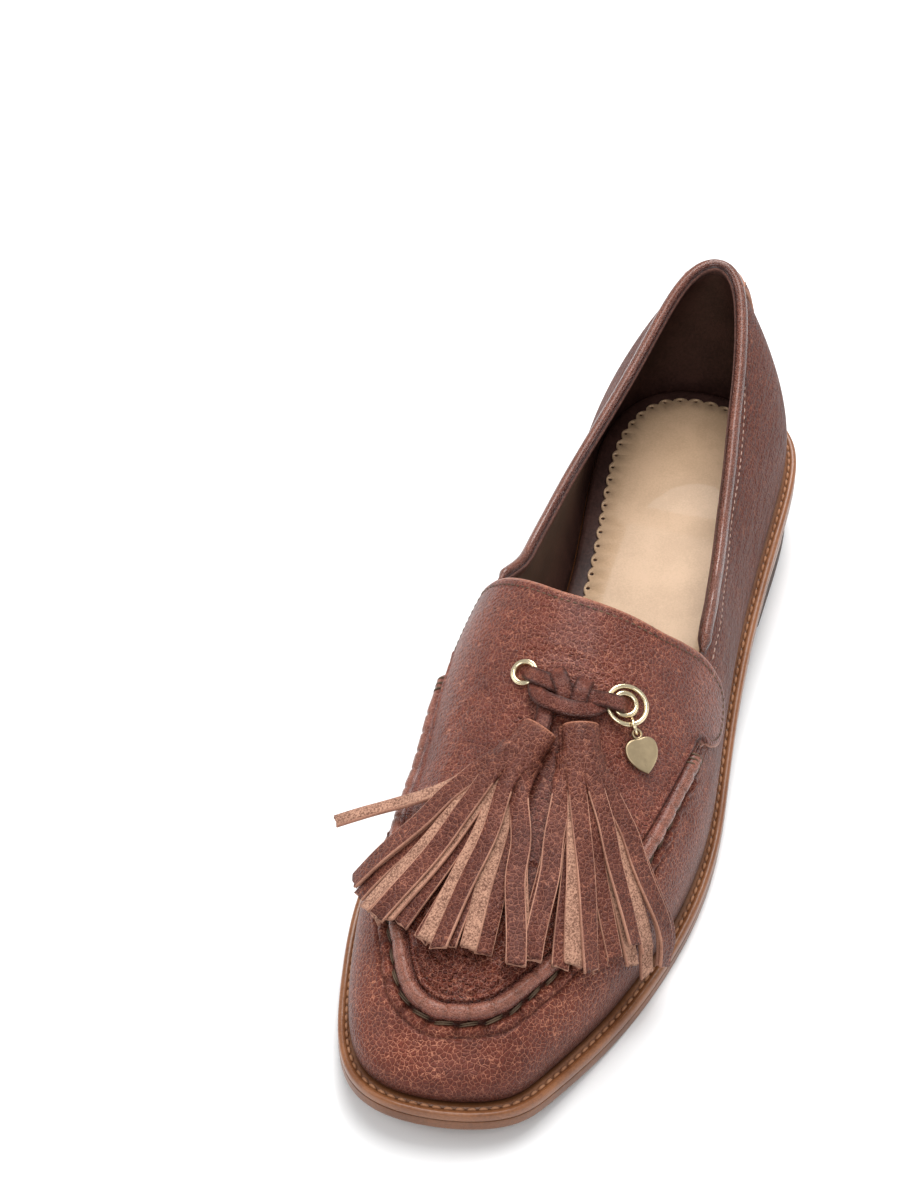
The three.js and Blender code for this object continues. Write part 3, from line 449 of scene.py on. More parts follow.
def leather(name, **changes):
    look = {**leatherLook, **changes}
    g = Graph(name)
    place = g.place()
    wobble = g.noise(place, 0.0011, 2)
    drift = g.node("ShaderNodeTexNoise", None, {"Vector": place, "Scale": 900, "Detail": 2}, "Color")
    warped = g.shift(place, g.node("ShaderNodeVectorMath", {"operation": "SCALE"}, {0: drift, "Scale": 0.0005}))
    edge = g.cells(warped, look["cell"])
    finer = g.cells(warped, look["cell"] * 0.55)
    cloud = g.noise(place, 0.017, 4, 0.6)
    mottle = g.noise(place, 0.0042, 3, 0.6)
    vein = 1 - g.ramp(edge, 0.01, look["veinWidth"])
    veinAmount = look["veinShare"] * g.ramp(cloud, 0.35, 0.65, 0.6, 1) * g.ramp(wobble, 0.3, 0.6, 0.45, 1)
    tone = g.ramp(cloud * 0.6 + mottle * 0.4, 0.25, 0.75)
    side = g.value("side")
    body = g.blend(tone, look["deep"], look["warm"])
    body = g.blend(side * 0.75, body, look["sideTone"])
    # painted shade: the shade value darkens the colour and hides the veins; the light value lightens it, for
    # pale cut edges and for painted highlights on the rolls
    body = g.blend(vein * veinAmount * (1 - g.value("shade") * 0.7) * (1 - side * 0.6), body, look["vein"])
    body = g.blend(g.value("shade") * 0.9, body, tuple(c * 0.25 for c in look["deep"]))
    body = g.blend(g.value("light") * 0.6, body, look["vein"])
    gloss = g.value("gloss")
    pebble = g.ramp(edge, 0.0, 0.4) * 0.7 + g.ramp(finer, 0.0, 0.35) * 0.3
    height = (pebble + g.noise(place, 0.0006, 3) * 0.35) * (1 + gloss)
    normal = g.bump(height, look["grain"])
    normal = g.bump(g.noise(place, 0.006, 3), look["grain"] * 2.2, normal, 0.5)
    if look["crinkle"]:
        folds = g.noise(g.stretch(warped, look["crinkleWay"]), 0.0016, 2, 0.5)
        amount = side if look["crinkleSide"] else g.ramp(cloud, 0.4, 0.6, 0.25, 1)
        normal = g.bump(g.ramp(folds, 0.35, 0.65) * amount, look["crinkle"], normal)
    rough = look["rough"] + vein * 0.1 + (mottle - 0.5) * 0.12 + side * 0.1 - gloss * 0.1
    return g.finish(Base_Color=body, Roughness=rough, Normal=normal, Coat_Weight=(1 - side) * look["coat"],
                    Coat_Roughness=look["coatRough"], Specular_IOR_Level=look["specular"])


def plainSkin(name, deep, warm, rough, grain=0.00008, size=0.0008, coat=0.0):
    g = Graph(name)
    place = g.place()
    cloud = g.noise(place, 0.012, 4)
    fine = g.noise(place, size, 3)
    tone = g.ramp(cloud * 0.55 + fine * 0.45, 0.36, 0.64)
    body = g.blend(tone, deep, warm)
    body = g.blend(g.value("shade") * 0.75, body, tuple(c * 0.35 for c in deep))
    normal = g.bump(fine, grain)
    return g.finish(Base_Color=body, Roughness=rough + (fine - 0.5) * 0.15, Normal=normal, Coat_Weight=coat,
                    Specular_IOR_Level=0.35)


def sueded(name, deep, warm):
    g = Graph(name)
    place = g.place()
    specks = g.noise(place, 0.0005, 4, 0.75)
    patches = g.noise(place, 0.0035, 3)
    tone = g.ramp(specks * 0.8 + patches * 0.2, 0.39, 0.6)
    body = g.blend(tone, deep, warm)
    body = g.blend(g.value("shade") * 0.6, body, tuple(c * 0.4 for c in deep))
    return g.finish(Base_Color=body, Roughness=0.92, Normal=g.bump(specks, 0.00022))


def metal(name, colour, polish=0.16):
    g = Graph(name)
    place = g.place()
    smudge = g.noise(place, 0.0025, 3)
    fine = g.noise(g.stretch(place, (1, 6, 1)), 0.0005, 2)
    body = g.blend(g.ramp(smudge, 0.35, 0.65), colour, tuple(c * 0.86 for c in colour))
    rough = polish + smudge * 0.12
    return g.finish(Base_Color=body, Metallic=1.0, Roughness=rough, Normal=g.bump(fine, 0.000008))


skins = {
    "upper": leather("upper leather", crinkle=0.00045, crinkleWay=(1.6, 0.3, 0.6), crinkleSide=True),
    "plug": leather("plug leather", deep=(0.085, 0.0165, 0.0095), warm=(0.165, 0.035, 0.019), veinShare=0.6,
                    cell=0.0012, rough=0.36, coat=0.12, specular=0.27, crinkle=0.0003),
    "roll": leather("rolled leather", deep=(0.09, 0.023, 0.016), warm=(0.2, 0.062, 0.045), veinShare=0.35,
                    cell=0.001, rough=0.26, coat=0.3, specular=0.27),
    "binding": leather("binding leather", deep=(0.06, 0.013, 0.009), warm=(0.13, 0.034, 0.022), veinShare=0.3,
                       cell=0.0008, rough=0.24, coat=0.5, coatRough=0.14, specular=0.3),
    "tassel": leather("tassel leather", deep=(0.07, 0.017, 0.011), warm=(0.14, 0.04, 0.026), veinShare=0.5,
                      cell=0.0012, rough=0.42, coat=0.05),
    "knot": leather("knot leather", deep=(0.08, 0.019, 0.012), warm=(0.16, 0.043, 0.028), veinShare=0.35,
                    cell=0.001, rough=0.34, coat=0.12),
    "edge": plainSkin("cut leather edge", (0.26, 0.115, 0.075), (0.48, 0.24, 0.16), 0.75, 0.00006, 0.0003),
    "flesh": sueded("flesh side", (0.13, 0.052, 0.032), (0.5, 0.27, 0.18)),
    "lining": plainSkin("lining leather", (0.03, 0.011, 0.008), (0.066, 0.027, 0.02), 0.5, 0.00005),
    "facing": sueded("facing strip", (0.05, 0.018, 0.013), (0.15, 0.06, 0.042)),
    "sock": plainSkin("sock leather", (0.5, 0.33, 0.2), (0.6, 0.4, 0.25), 0.5, 0.00003, 0.0005, 0.1),
    "welt": plainSkin("welt leather", (0.17, 0.06, 0.022), (0.26, 0.1, 0.038), 0.38, 0.00005, 0.0007, 0.2),
    "soleSide": plainSkin("sole edge", (0.13, 0.045, 0.015), (0.2, 0.075, 0.028), 0.42, 0.00006, 0.0007, 0.15),
    "tread": plainSkin("tread", (0.12, 0.055, 0.03), (0.2, 0.095, 0.05), 0.7, 0.00012, 0.0006),
    "heel": plainSkin("heel stack", (0.33, 0.16, 0.1), (0.45, 0.24, 0.16), 0.36, 0.00004, 0.0012, 0.3),
    "lift": plainSkin("top lift", (0.045, 0.026, 0.02), (0.09, 0.055, 0.042), 0.7, 0.0001),
    "thread": plainSkin("welt thread", (0.27, 0.115, 0.055), (0.44, 0.21, 0.11), 0.7, 0.00006, 0.0002),
    "darkThread": plainSkin("seam thread", (0.05, 0.028, 0.016), (0.13, 0.08, 0.045), 0.65, 0.00006, 0.0002),
    "quarterThread": plainSkin("quarter thread", (0.28, 0.17, 0.13), (0.46, 0.31, 0.25), 0.6, 0.00005, 0.0002),
    "gold": metal("pale gold", (0.84, 0.7, 0.46)),
    "satin": metal("satin gold", (0.47, 0.36, 0.22), 0.34),
}
print("materials made")


# A mesh from grids and other sheets, with values for shading at its points
class Shape:
    def __init__(self):
        self.points = []
        self.values = []
        self.faces = []
        self.skins = []
        self.count = 0

    def add(self, points, faces, skin, values=None):
        points = np.asarray(points, float).reshape(-1, 3)
        self.points.append(points)
        self.values.append({k: np.broadcast_to(v, len(points)) for k, v in (values or {}).items()})
        self.faces.extend((np.asarray(faces) + self.count).tolist())
        self.skins.extend([skin] * len(faces))
        self.count += len(points)

    def grid(self, points, skin, closedI=False, closedJ=False, values=None, skinOf=None):
        rows, columns = points.shape[:2]
        lastRow, lastColumn = rows if closedI else rows - 1, columns if closedJ else columns - 1
        i, j = np.meshgrid(np.arange(lastRow), np.arange(lastColumn), indexing="ij")
        i, j = i.ravel(), j.ravel()
        k, m = (i + 1) % rows, (j + 1) % columns
        faces = np.stack([i * columns + j, k * columns + j, k * columns + m, i * columns + m], -1)
        flat = {name: np.broadcast_to(v, (rows, columns)).ravel() for name, v in (values or {}).items()}
        self.add(points, faces, skin, flat)
        if skinOf is not None:
            self.skins[-len(faces):] = [skinOf(a, b) for a, b in zip(i, j)]

    def tube(self, rings, skin, loop=False, values=None, skinOf=None):
        self.grid(rings, skin, closedI=loop, closedJ=True, values=values, skinOf=skinOf)
        if loop:
            return
        count = rings.shape[1]
        for ring in (rings[0], rings[-1]):
            middle = ring.mean(0)
            fan = [(k, (k + 1) % count, count) for k in range(count)]
            self.add(np.vstack([ring, middle]), fan, skin)

    def made(self, name, body="shoe", replaces=(), slot=None, weld=2e-6):
        names = sorted(set(self.skins))
        mesh = bpy.data.meshes.new(name)
        mesh.from_pydata(placed(np.vstack(self.points)).tolist(), [], self.faces)
        for skin in names:
            mesh.materials.append(skins[skin])
        mesh.polygons.foreach_set("material_index", [names.index(s) for s in self.skins])
        for key in ("shade", "light", "side", "gloss"):
            layer = mesh.attributes.new(key, "FLOAT", "POINT")
            flat = np.concatenate([
                v[key] if key in v else np.zeros(len(p)) for v, p in zip(self.values, self.points)
            ])
            layer.data.foreach_set("value", flat.astype(np.float32))
        work = bmesh.new()
        work.from_mesh(mesh)
        bmesh.ops.remove_doubles(work, verts=work.verts, dist=weld)
        bmesh.ops.dissolve_degenerate(work, edges=work.edges, dist=1e-7)
        bmesh.ops.recalc_face_normals(work, faces=work.faces)
        work.to_mesh(mesh)
        work.free()
        mesh.polygons.foreach_set("use_smooth", [True] * len(mesh.polygons))
        made = bpy.data.objects.new(name, mesh)
        bpy.context.scene.collection.objects.link(made)
        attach(made, body)
        if replaces:
            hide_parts(*replaces)
        print(name, len(mesh.polygons), "faces")
        return made


# Normals of a grid, the same where its points coincide, turned to the side of a hint
def gridNormals(points, hint, closedI=False):
    if closedI:
        wide = np.concatenate([points[-1:], points, points[:1]])
        byI = wide[2:] - wide[:-2]
    else:
        byI = np.gradient(points, axis=0)
    normals = unit(np.cross(byI, np.gradient(points, axis=1)))
    normals *= np.where((normals * hint).sum(-1, keepdims=True) < 0, -1, 1)
    keys = np.round(points.reshape(-1, 3) * 500).astype(np.int64)
    _, same = np.unique(keys, axis=0, return_inverse=True)
    same = same.ravel()
    total = np.zeros((same.max() + 1, 3))
    np.add.at(total, same, normals.reshape(-1, 3))
    return unit(total[same]).reshape(points.shape)


# A wall on a grid from low to high, with rounded edges
def addShell(shape, points, normals, high, low, wrap, skinNames, values, innerStep=1):
    high = np.broadcast_to(high, points.shape[:2])
    low = np.broadcast_to(low, points.shape[:2])
    rows, columns = points.shape[:2]
    rimSteps = 4
    shape.grid(points + normals * high[..., None], skinNames[0], closedI=wrap, values=values)
    shape.grid((points + normals * low[..., None])[:, ::innerStep], skinNames[2], closedI=wrap)
    if wrap:
        loops = [[(i, 0) for i in range(rows)], [(i, columns - 1) for i in range(rows)]]
    else:
        loops = [
            [(i, 0) for i in range(rows)] + [(rows - 1, j) for j in range(1, columns)]
            + [(i, columns - 1) for i in range(rows - 2, -1, -1)] + [(0, j) for j in range(columns - 2, 0, -1)]
        ]
    for loop in loops:
        i, j = np.array(loop).T
        edge = points[i, j]
        normal = normals[i, j]
        inner = points[i if wrap else np.clip(i, 1, rows - 2), np.clip(j, 1, columns - 2)]
        along = np.roll(edge, -1, 0) - np.roll(edge, 1, 0)
        away = unit(np.cross(unit(along), normal))
        away *= np.where(((edge - inner) * away).sum(-1, keepdims=True) < 0, -1, 1)
        top, foot = high[i, j], low[i, j]
        middle, half = (top + foot) / 2, (top - foot) / 2
        rings = []
        for k in range(rimSteps + 1):
            angle = math.pi * k / rimSteps
            rise = middle + half * math.cos(angle)
            reach = half * math.sin(angle) * 0.7
            rings.append(edge + normal * rise[:, None] + away * reach[:, None])
        flat = {name: np.broadcast_to(v, (rows, columns))[i, j][:, None] for name, v in values.items()}
        shape.grid(np.stack(rings, 1), skinNames[1], closedI=True, values=flat)


def lengthsAlong(line):
    return np.concatenate([[0], np.cumsum(np.linalg.norm(np.diff(line, axis=0), axis=1))])


# How far points lie from a line, and how far along it
def nearLine(points, line):
    flat = points.reshape(-1, 3)
    lengths = lengthsAlong(line)
    distance = np.empty(len(flat))
    along = np.empty(len(flat))
    for start in range(0, len(flat), 4000):
        part = flat[start:start + 4000]
        gaps = ((part[:, None] - line[None]) ** 2).sum(-1)
        best = gaps.argmin(1)
        distance[start:start + 4000] = np.sqrt(gaps[np.arange(len(part)), best])
        along[start:start + 4000] = lengths[best]
    return distance.reshape(points.shape[:-1]), along.reshape(points.shape[:-1])


# Evenly spaced places on a line, with the normals carried along
def evenly(line, outs, places):
    run = lengthsAlong(line)
    point = np.stack([np.interp(places, run, line[:, k]) for k in range(3)], -1)
    out = unit(np.stack([np.interp(places, run, outs[:, k]) for k in range(3)], -1))
    return point, out


# Small rounded thread lengths along a line that lies on a face
def addStitches(shape, line, outs, pitch, long, width, skin, sink, bow, slant=0.0):
    total = lengthsAlong(line)[-1]
    count = int(total / pitch)
    steps = np.array([-0.5, -0.3, 0, 0.3, 0.5])
    for k in range(count):
        middle = (k + 0.5) * total / count
        point, out = evenly(line, outs, np.clip(middle + long * steps, 0, total))
        along = unit(point[-1] - point[0])
        across = unit(np.cross(out, along))
        size = (width / 2 * np.array([0.45, 0.9, 1, 0.9, 0.45]))[:, None]
        rise = (np.array([-0.6, 0.35, 1, 0.35, -0.6]) * bow - sink)[:, None]
        core = point + (steps * slant)[:, None] * across + rise * out
        spin = np.arange(6) * math.pi / 3
        rings = [core + size * (math.cos(turn) * across + math.sin(turn) * out) for turn in spin]
        shape.tube(np.stack(rings, 1), skin)


# The camera stands where the photo was taken from, worked out from the shoe's outline in it
camera = {
    "azimuth": 16.87, "elevation": 45.66, "distance": 905.9, "focal": 3398.6,
    "target": (3.009, 0, 30), "right": 135.9, "up": 91.6, "pixelsHigh": 1200, "sensor": 36,
}


def makeCamera(c):
    a, e = math.radians(c["azimuth"]), math.radians(c["elevation"])
    back = Vector((math.sin(a) * math.cos(e), -math.cos(a) * math.cos(e), math.sin(e)))
    right = Vector((math.cos(a), math.sin(a), 0))
    up = back.cross(right)
    perPixel = c["distance"] / c["focal"]
    place = Vector(c["target"]) + back * c["distance"] - right * c["right"] * perPixel + up * c["up"] * perPixel
    lens = bpy.data.cameras.new("camera")
    lens.sensor_width = c["sensor"]
    lens.lens = c["focal"] / c["pixelsHigh"] * c["sensor"]
    lens.clip_start, lens.clip_end = 0.05, 20
    made = bpy.data.objects.new("camera", lens)
    bpy.context.scene.collection.objects.link(made)
    made.location = place / 1000
    made.rotation_mode = "QUATERNION"
    made.rotation_quaternion = (-back).to_track_quat("-Z", "Y")
    bpy.context.scene.camera = made


makeCamera(camera)
print("camera placed")

# The seam between plug and vamp as one line from its medial end to its lateral end
seamPaths = {side: pathThrough([(0, seamRows["toe"]), *seamRows[side]]) for side in sides}


def seamLine(count, end=1.0):
    f = np.linspace(0, end, count)
    medial, lateral = seamPaths["medial"](f), seamPaths["lateral"](f)
    turn = np.concatenate([-medial[::-1, 0], lateral[1:, 0]])
    rise = np.concatenate([medial[::-1, 1], lateral[1:, 1]])
    return turn, rise


seamTurn, seamT = seamLine(260)
seamFrame = lastFrame(seamTurn, seamT)
seamLong = lengthsAlong(seamFrame["point"])[-1]
pinchPitch = seamLong / round(seamLong / 6.2)

# Upper: one wall from the feather line to throat and topline
upperLook = {
    "vampColumns": 200, "throatColumns": 36, "collarColumns": 96, "rows": 92,
    "grooveDepth": 0.7, "gatherRise": 1.0, "gatherPleat": 0.6, "crease": 0.6, "panelStep": 0.3,
}
quarterRows = {
    "at": [0.50, 0.566, 0.604, 0.635, 0.671, 0.742, 0.79, 0.851, 0.90, 0.945, 0.97],
    "rise": [0.355, 0.350, 0.335, 0.318, 0.303, 0.299, 0.301, 0.317, 0.365, 0.420, 0.440],
}


# The stitched line under the topline, from the tongue's side to the back tab
def quarterLine(side, offset, count=160, low=0.535, high=0.962):
    rise = curveThrough(quarterRows["at"], quarterRows["rise"])
    share = np.linspace(low, high, count)
    turn = sides[side] * turnOf(share)
    t = rise(share)
    rate = lastFrame(turn, t)["rate"]
    return lastFrame(turn, t + offset / rate)


def makeUpper(look):
    splitThroat, splitCollar = turnOf(throatRows["throatSplit"]), turnOf(throatRows["collarSplit"])
    a, b, c = look["vampColumns"], look["throatColumns"], look["collarColumns"]
    half = a + b + c
    paths = {}
    for side, sign in sides.items():
        rows = [(at - throatRows["inset"], rise) for at, rise in throatRows[side]]
        rows += [(at, float(toplineRise(sign * turnOf(at)))) for at in throatRows["joins"]]
        paths[side] = pathThrough(rows)
    ridge = paths["lateral"](np.array(0.0))[0]
    baseTurn, endTurn, endRise, signs = [], [], [], []
    for side, sign in sides.items():
        k = np.arange(half + 1)
        turn = np.where(k <= a, splitThroat * k / a, 0.0)
        f = np.clip((k - a) / b, 0, 1)
        turn = np.where((k > a) & (k <= a + b), mix(splitThroat, splitCollar, f), turn)
        g = np.clip((k - a - b) / c, 0, 1)
        turn = np.where(k > a + b, mix(splitCollar, math.pi, g), turn)
        end = paths[side](f)
        end[:, 0] = np.where(k <= a, ridge * k / a, end[:, 0])
        end[:, 1] = np.where(k <= a, 1, end[:, 1])
        end[:, 0] = np.where(k > a + b, turn, end[:, 0])
        end[:, 1] = np.where(k > a + b, toplineRise(sign * turn), end[:, 1])
        order = slice(None, None, -1) if sign < 0 else slice(1, -1)
        baseTurn.append(turn[order])
        endTurn.append(end[order, 0])
        endRise.append(end[order, 1])
        signs.append(np.full(len(turn[order]), sign))
    base, endX, endY, sign = [np.concatenate(v) for v in (baseTurn, endTurn, endRise, signs)]
    # rows gather at the seam, which each column crosses part of the way up
    probe = np.linspace(0, 1, 400)
    probeTurn = sign[:, None] * mix(base[:, None], endX[:, None], probe)
    seamAt = np.interp(probeTurn, seamTurn, seamT)
    over = endY[:, None] * probe - seamAt
    crossing = np.where(over[:, -1] > 0, (over > 0).argmax(1) / 399, 0.6)
    beyond = (probeTurn[:, -1] > seamTurn[-1]) | (probeTurn[:, -1] < seamTurn[0])
    crossing = np.where(beyond, np.minimum(crossing, 0.72), crossing)
    wide = np.concatenate([crossing[-6:], crossing, crossing[:6]])
    crossing = np.convolve(wide, np.ones(13) / 13, "valid")
    rows = look["rows"]
    lower = int(rows * 0.66)
    f = np.linspace(0, 1, lower + 1)
    g = np.linspace(0, 1, rows - lower + 1)[1:]
    up = np.concatenate([
        crossing[:, None] * (1 - (1 - f) ** 1.25)[None],
        crossing[:, None] + (1 - crossing[:, None]) * (g ** 1.1)[None],
    ], 1)
    turn = sign[:, None] * mix(base[:, None], endX[:, None], up)
    t = endY[:, None] * up
    points = lastPoint(turn, t)
    hint = lastFrame(turn, np.clip(t, 0.01, 0.97))["out"]
    normals = gridNormals(points, hint, closedI=True)

    away, along = nearLine(points, seamFrame["point"])
    below = t < np.interp(turn, seamTurn, seamT)
    fade = smooth(0, 9, along) * smooth(0, 9, seamLong - along) * below
    seeded = np.random.default_rng(4)
    jitter = curveThrough(np.linspace(0, seamLong, 40), seeded.uniform(-0.9, 0.9, 40))
    phase = 2 * math.pi * (along + jitter(along)) / pinchPitch
    pleat = 0.5 + 0.5 * np.cos(phase)
    fine = np.cos(2 * math.pi * (along + 1.4 * jitter(along)) / 2.05 + 0.35 * away)
    high = np.zeros(t.shape)
    high -= look["grooveDepth"] * hill(away, 2.7, 0.75) * fade
    high += look["gatherRise"] * hill(away, 4.6, 1.25) * fade * (0.62 + 0.38 * (1 - pleat ** 3))
    high -= look["gatherPleat"] * pleat ** 6 * smooth(2.2, 3.2, away) * (1 - smooth(4.5, 8.5, away)) * fade
    other = curveThrough(np.linspace(0, seamLong, 90), seeded.uniform(-1, 1, 90))
    toeShare = 1 - smooth(0.26, 0.36, shareOf(turn))
    band = smooth(2.8, 3.8, away) * (1 - smooth(5.2, 6.6, away)) * fade
    high += 0.5 * fine * mix(0.5, 1.3, other(along) ** 2) * band
    rim = 6.3 + 0.35 * other(along + 3)
    high -= look["crease"] * hill(away, rim, 0.42) * fade * mix(0.35, 1, toeShare)
    high += 0.12 * hill(away, rim + 1.1, 0.6) * fade * toeShare
    shade = 0.9 * hill(away, 2.6, 0.7) * fade + 0.45 * pleat ** 4 * hill(away, 4.2, 1.6) * fade
    shade = shade + 0.55 * hill(away, rim, 0.3) * fade * mix(0.3, 1, toeShare)

    # the quarter's folded edge, a step under the topline
    for side, way in sides.items():
        line = quarterLine(side, 0)
        gapTo, run = nearLine(points, line["point"])
        level = curveThrough(quarterRows["at"], quarterRows["rise"])(shareOf(turn))
        ends = smooth(0, 8, run) * (shareOf(turn) > 0.53) * (np.sign(turn) == way)
        above = t > level
        step = np.where(above, smooth(0, 0.5, gapTo), 0) * (1 - smooth(11, 14, gapTo))
        high += ends * look["panelStep"] * step
        high -= ends * 0.16 * hill(gapTo, 1.1, 0.45) * above
        shade = shade + ends * 0.45 * hill(gapTo, 0, 0.5)

    # soft troughs where the shoe flexes: place, way it runs, half length, width and depth in mm
    folds = (
        (-33, 92, 24, 52, 11, 2.2, 0.5), (-35, 103, 33, 48, 9, 1.8, 0.4), (36, 96, 30, -38, 12, 2.4, 0.5),
        (38, 110, 28, -30, 10, 2.0, 0.35), (31, 190, 34, 8, 16, 3.0, 0.45), (-24, 172, 34, -6, 18, 3.4, 0.5),
        (29, 222, 34, 20, 10, 2.5, 0.35), (-30, 128, 34, 70, 12, 2.6, 0.35),
    )
    for x, y, z, way, long, width, depth in folds:
        heading = np.array([math.cos(math.radians(way)), math.sin(math.radians(way)), 0.0])
        reach = points - np.array([x, y, z])
        run = (reach * heading).sum(-1)
        left = reach - run[..., None] * heading
        drop = np.linalg.norm(left * np.array([0.35, 0.35, 1]), axis=-1)
        close = hill(np.linalg.norm(reach, axis=-1), 0, long * 1.4)
        high -= depth * hill(run, 0, long) * hill(drop, 0, width) * close

    # the foot of the wall turns in over the welt
    high -= 0.5 * hill(t, 0, 0.018)
    back = smooth(0.3, 0.62, shareOf(turn))
    shade = shade + 0.65 * (1 - smooth(0, mix(0.15, 0.06, back), t))
    shade = shade + 0.3 * (1 - smooth(0.08, 0.34, t)) * (1 - back)
    values = {"shade": np.clip(shade, 0, 1), "side": back}
    skinNames = ("upper", "lining", "lining")
    shape = Shape()
    addShell(shape, points, normals, high, -shoe["upperWall"], True, skinNames, values, innerStep=4)
    return shape.made("upper_shell", replaces=["upper"], slot="upper_leather")


makeUpper(upperLook)

# Plug: the top panel inside the seam, with the tongue's edge at the throat
plugLook = {"seamColumns": 130, "sideColumns": 40, "rows": 92, "tuck": 1.1, "wrinkle": 0.34}


def plugPlaces(look):
    half = look["seamColumns"] + look["sideColumns"]
    crown = turnOf(tongueTop["medial"][-1][0])
    f = np.linspace(0, 1, look["rows"] + 1)
    turns, rises = [], []
    for side, sign in sides.items():
        k = np.arange(half + 1)
        end = seamRows[side][-1]
        edge = pathThrough([end, *tongueSide[side]])
        top = pathThrough(tongueTop[side])
        seam = seamPaths[side](np.clip(k / look["seamColumns"], 0, 1))
        rate = lastFrame(sign * seam[:, 0], seam[:, 1])["rate"]
        raised = (shoe["seamWidth"] / 2 + shoe["coverGap"] - look["tuck"]) / rate
        seam[:, 1] += raised
        sideways = edge(np.clip((k - look["seamColumns"]) / look["sideColumns"], 0, 1))
        sideways[:, 1] += raised * (1 - smooth(0, 14, k - look["seamColumns"]))
        g = smooth(look["seamColumns"] - 3, look["seamColumns"] + 3, k)[:, None]
        foot = np.where((k <= look["seamColumns"])[:, None], seam, sideways)
        head = np.stack([crown * k / half, np.ones(len(k))], -1)
        place = foot[:, None] * (1 - f)[None, :, None] + head[:, None] * f[None, :, None]
        last = edge(np.array(1.0)) * (1 - f)[:, None] + np.array([crown, 1]) * f[:, None]
        pull = (k / half) ** 4
        place = place + pull[:, None, None] * (top(f) - last)[None]
        order = slice(None, None, -1) if sign < 0 else slice(1, None)
        turns.append(sign * place[order, :, 0])
        rises.append(place[order, :, 1])
    return np.concatenate(turns), np.concatenate(rises)


def makePlug(look):
    turn, t = plugPlaces(look)
    points = lastPoint(turn, t)
    hint = lastFrame(turn, np.clip(t, 0.01, 0.97))["out"]
    normals = gridNormals(points, hint)
    away, along = nearLine(points, seamFrame["point"])
    toeSide = 1 - smooth(40, 85, points[..., 1])
    seeded = np.random.default_rng(9)
    jitter = curveThrough(np.linspace(0, seamLong, 50), seeded.uniform(-1.2, 1.2, 50))
    high = np.full(t.shape, float(plugTop))
    # the leather dips beside the roll, folds once and puckers
    high -= 0.55 * hill(away, 2.2, 0.4)
    high += 0.35 * hill(away, 3.1, 0.65) - 0.35 * hill(away, 4.35, 0.45) * (0.4 + 0.6 * toeSide)
    pucker = np.cos(2 * math.pi * (along + jitter(along)) / pinchPitch)
    high += 0.16 * pucker * hill(away, 4.2, 2.0) * (0.35 + 0.65 * toeSide)
    ripple = np.cos(2 * math.pi * (away + 0.5 * jitter(along)) / 2.7)
    ripple = ripple * np.cos(2 * math.pi * along / 9 + 0.7 * away)
    ripple = ripple + 0.6 * np.cos(2 * math.pi * (0.8 * away - 0.35 * along + jitter(along)) / 2.1)
    high += look["wrinkle"] * ripple * smooth(3.5, 5, away) * (1 - smooth(10, 19, away)) * toeSide
    # creases fan over the instep: place, way, half length, width and depth in mm
    creases = (
        (-16, 96, 62, 14, 1.0, 0.22), (-19, 104, 40, 12, 0.9, 0.2), (-13, 112, 20, 11, 0.9, 0.18),
        (-21, 88, 75, 12, 0.9, 0.2), (-4, 114, 5, 12, 0.8, 0.14), (12, 113, -12, 10, 0.8, 0.14),
        (22, 108, -30, 10, 0.9, 0.16), (2, 60, 3, 14, 1.1, 0.16), (-10, 48, -14, 12, 1.0, 0.14),
    )
    for x, y, way, long, width, depth in creases:
        heading = np.array([math.cos(math.radians(way)), math.sin(math.radians(way))])
        flat = points[..., :2] - np.array([x, y])
        run = flat @ heading
        side = flat @ np.array([-heading[1], heading[0]]) + 0.012 * run ** 2
        high -= depth * hill(run, 0, long) * (hill(side, 0, width) - 0.6 * hill(side, 1.9 * width, width))
    # the folded edge round the tongue, then its stitch line
    edgeTurn = np.concatenate([turn[:1], turn[-1:]]).reshape(2, -1)
    edgeRise = np.concatenate([t[:1], t[-1:]]).reshape(2, -1)
    rims = [lastPoint(a, b) for a, b in zip(edgeTurn, edgeRise)]
    toEdge = np.minimum(nearLine(points, rims[0])[0], nearLine(points, rims[1])[0])
    feet = []
    for part in (slice(0, look["sideColumns"]), slice(-look["sideColumns"], None)):
        feet.append(nearLine(points, lastPoint(turn[part, 0], t[part, 0]))[0])
    toEdge = np.minimum(toEdge, np.minimum(*feet))
    high -= 0.35 * (1 - smooth(0, 0.8, toEdge))
    high -= 0.14 * hill(toEdge, 2.1, 0.4)
    shade = 0.35 * hill(toEdge, 2.1, 0.35) + 0.6 * hill(away, 2.3, 0.4) + 0.3 * hill(away, 4.35, 0.4) * toeSide
    light = 0.8 * (1 - smooth(0.1, 0.75, toEdge))
    shape = Shape()
    values = {"shade": np.clip(shade, 0, 1), "light": light, "gloss": toeSide}
    skinNames = ("plug", "plug", "lining")
    addShell(shape, points, normals, high, shoe["coverGap"], False, skinNames, values, innerStep=4)
    # dark thread just inside the edge
    for side, sign in sides.items():
        edge = pathThrough([seamRows[side][-1], *tongueSide[side]])(np.linspace(0.12, 1, 60))
        top = pathThrough(tongueTop[side])(np.linspace(0.02, 1, 80))
        place = np.vstack([edge, top])
        line = lastFrame(sign * place[:, 0], place[:, 1])
        path = line["point"]
        way = unit(np.gradient(path, axis=0))
        inward = unit(np.cross(line["out"], way)) * sign
        rows = path + inward * 2.1 + line["out"] * (plugTop - 0.12)
        addStitches(shape, rows, line["out"], 1.75, 1.25, 0.42, "darkThread", 0.02, 0.1)
    return shape.made("plug_panel", replaces=["plug"], slot="upper_leather")


makePlug(plugLook)

# Moccasin seam: a puckered roll, threads in the groove beside it, wraps at its ends
rollLook = {"stations": 420, "pinch": 0.14, "thread": 0.5, "proud": 1.16}


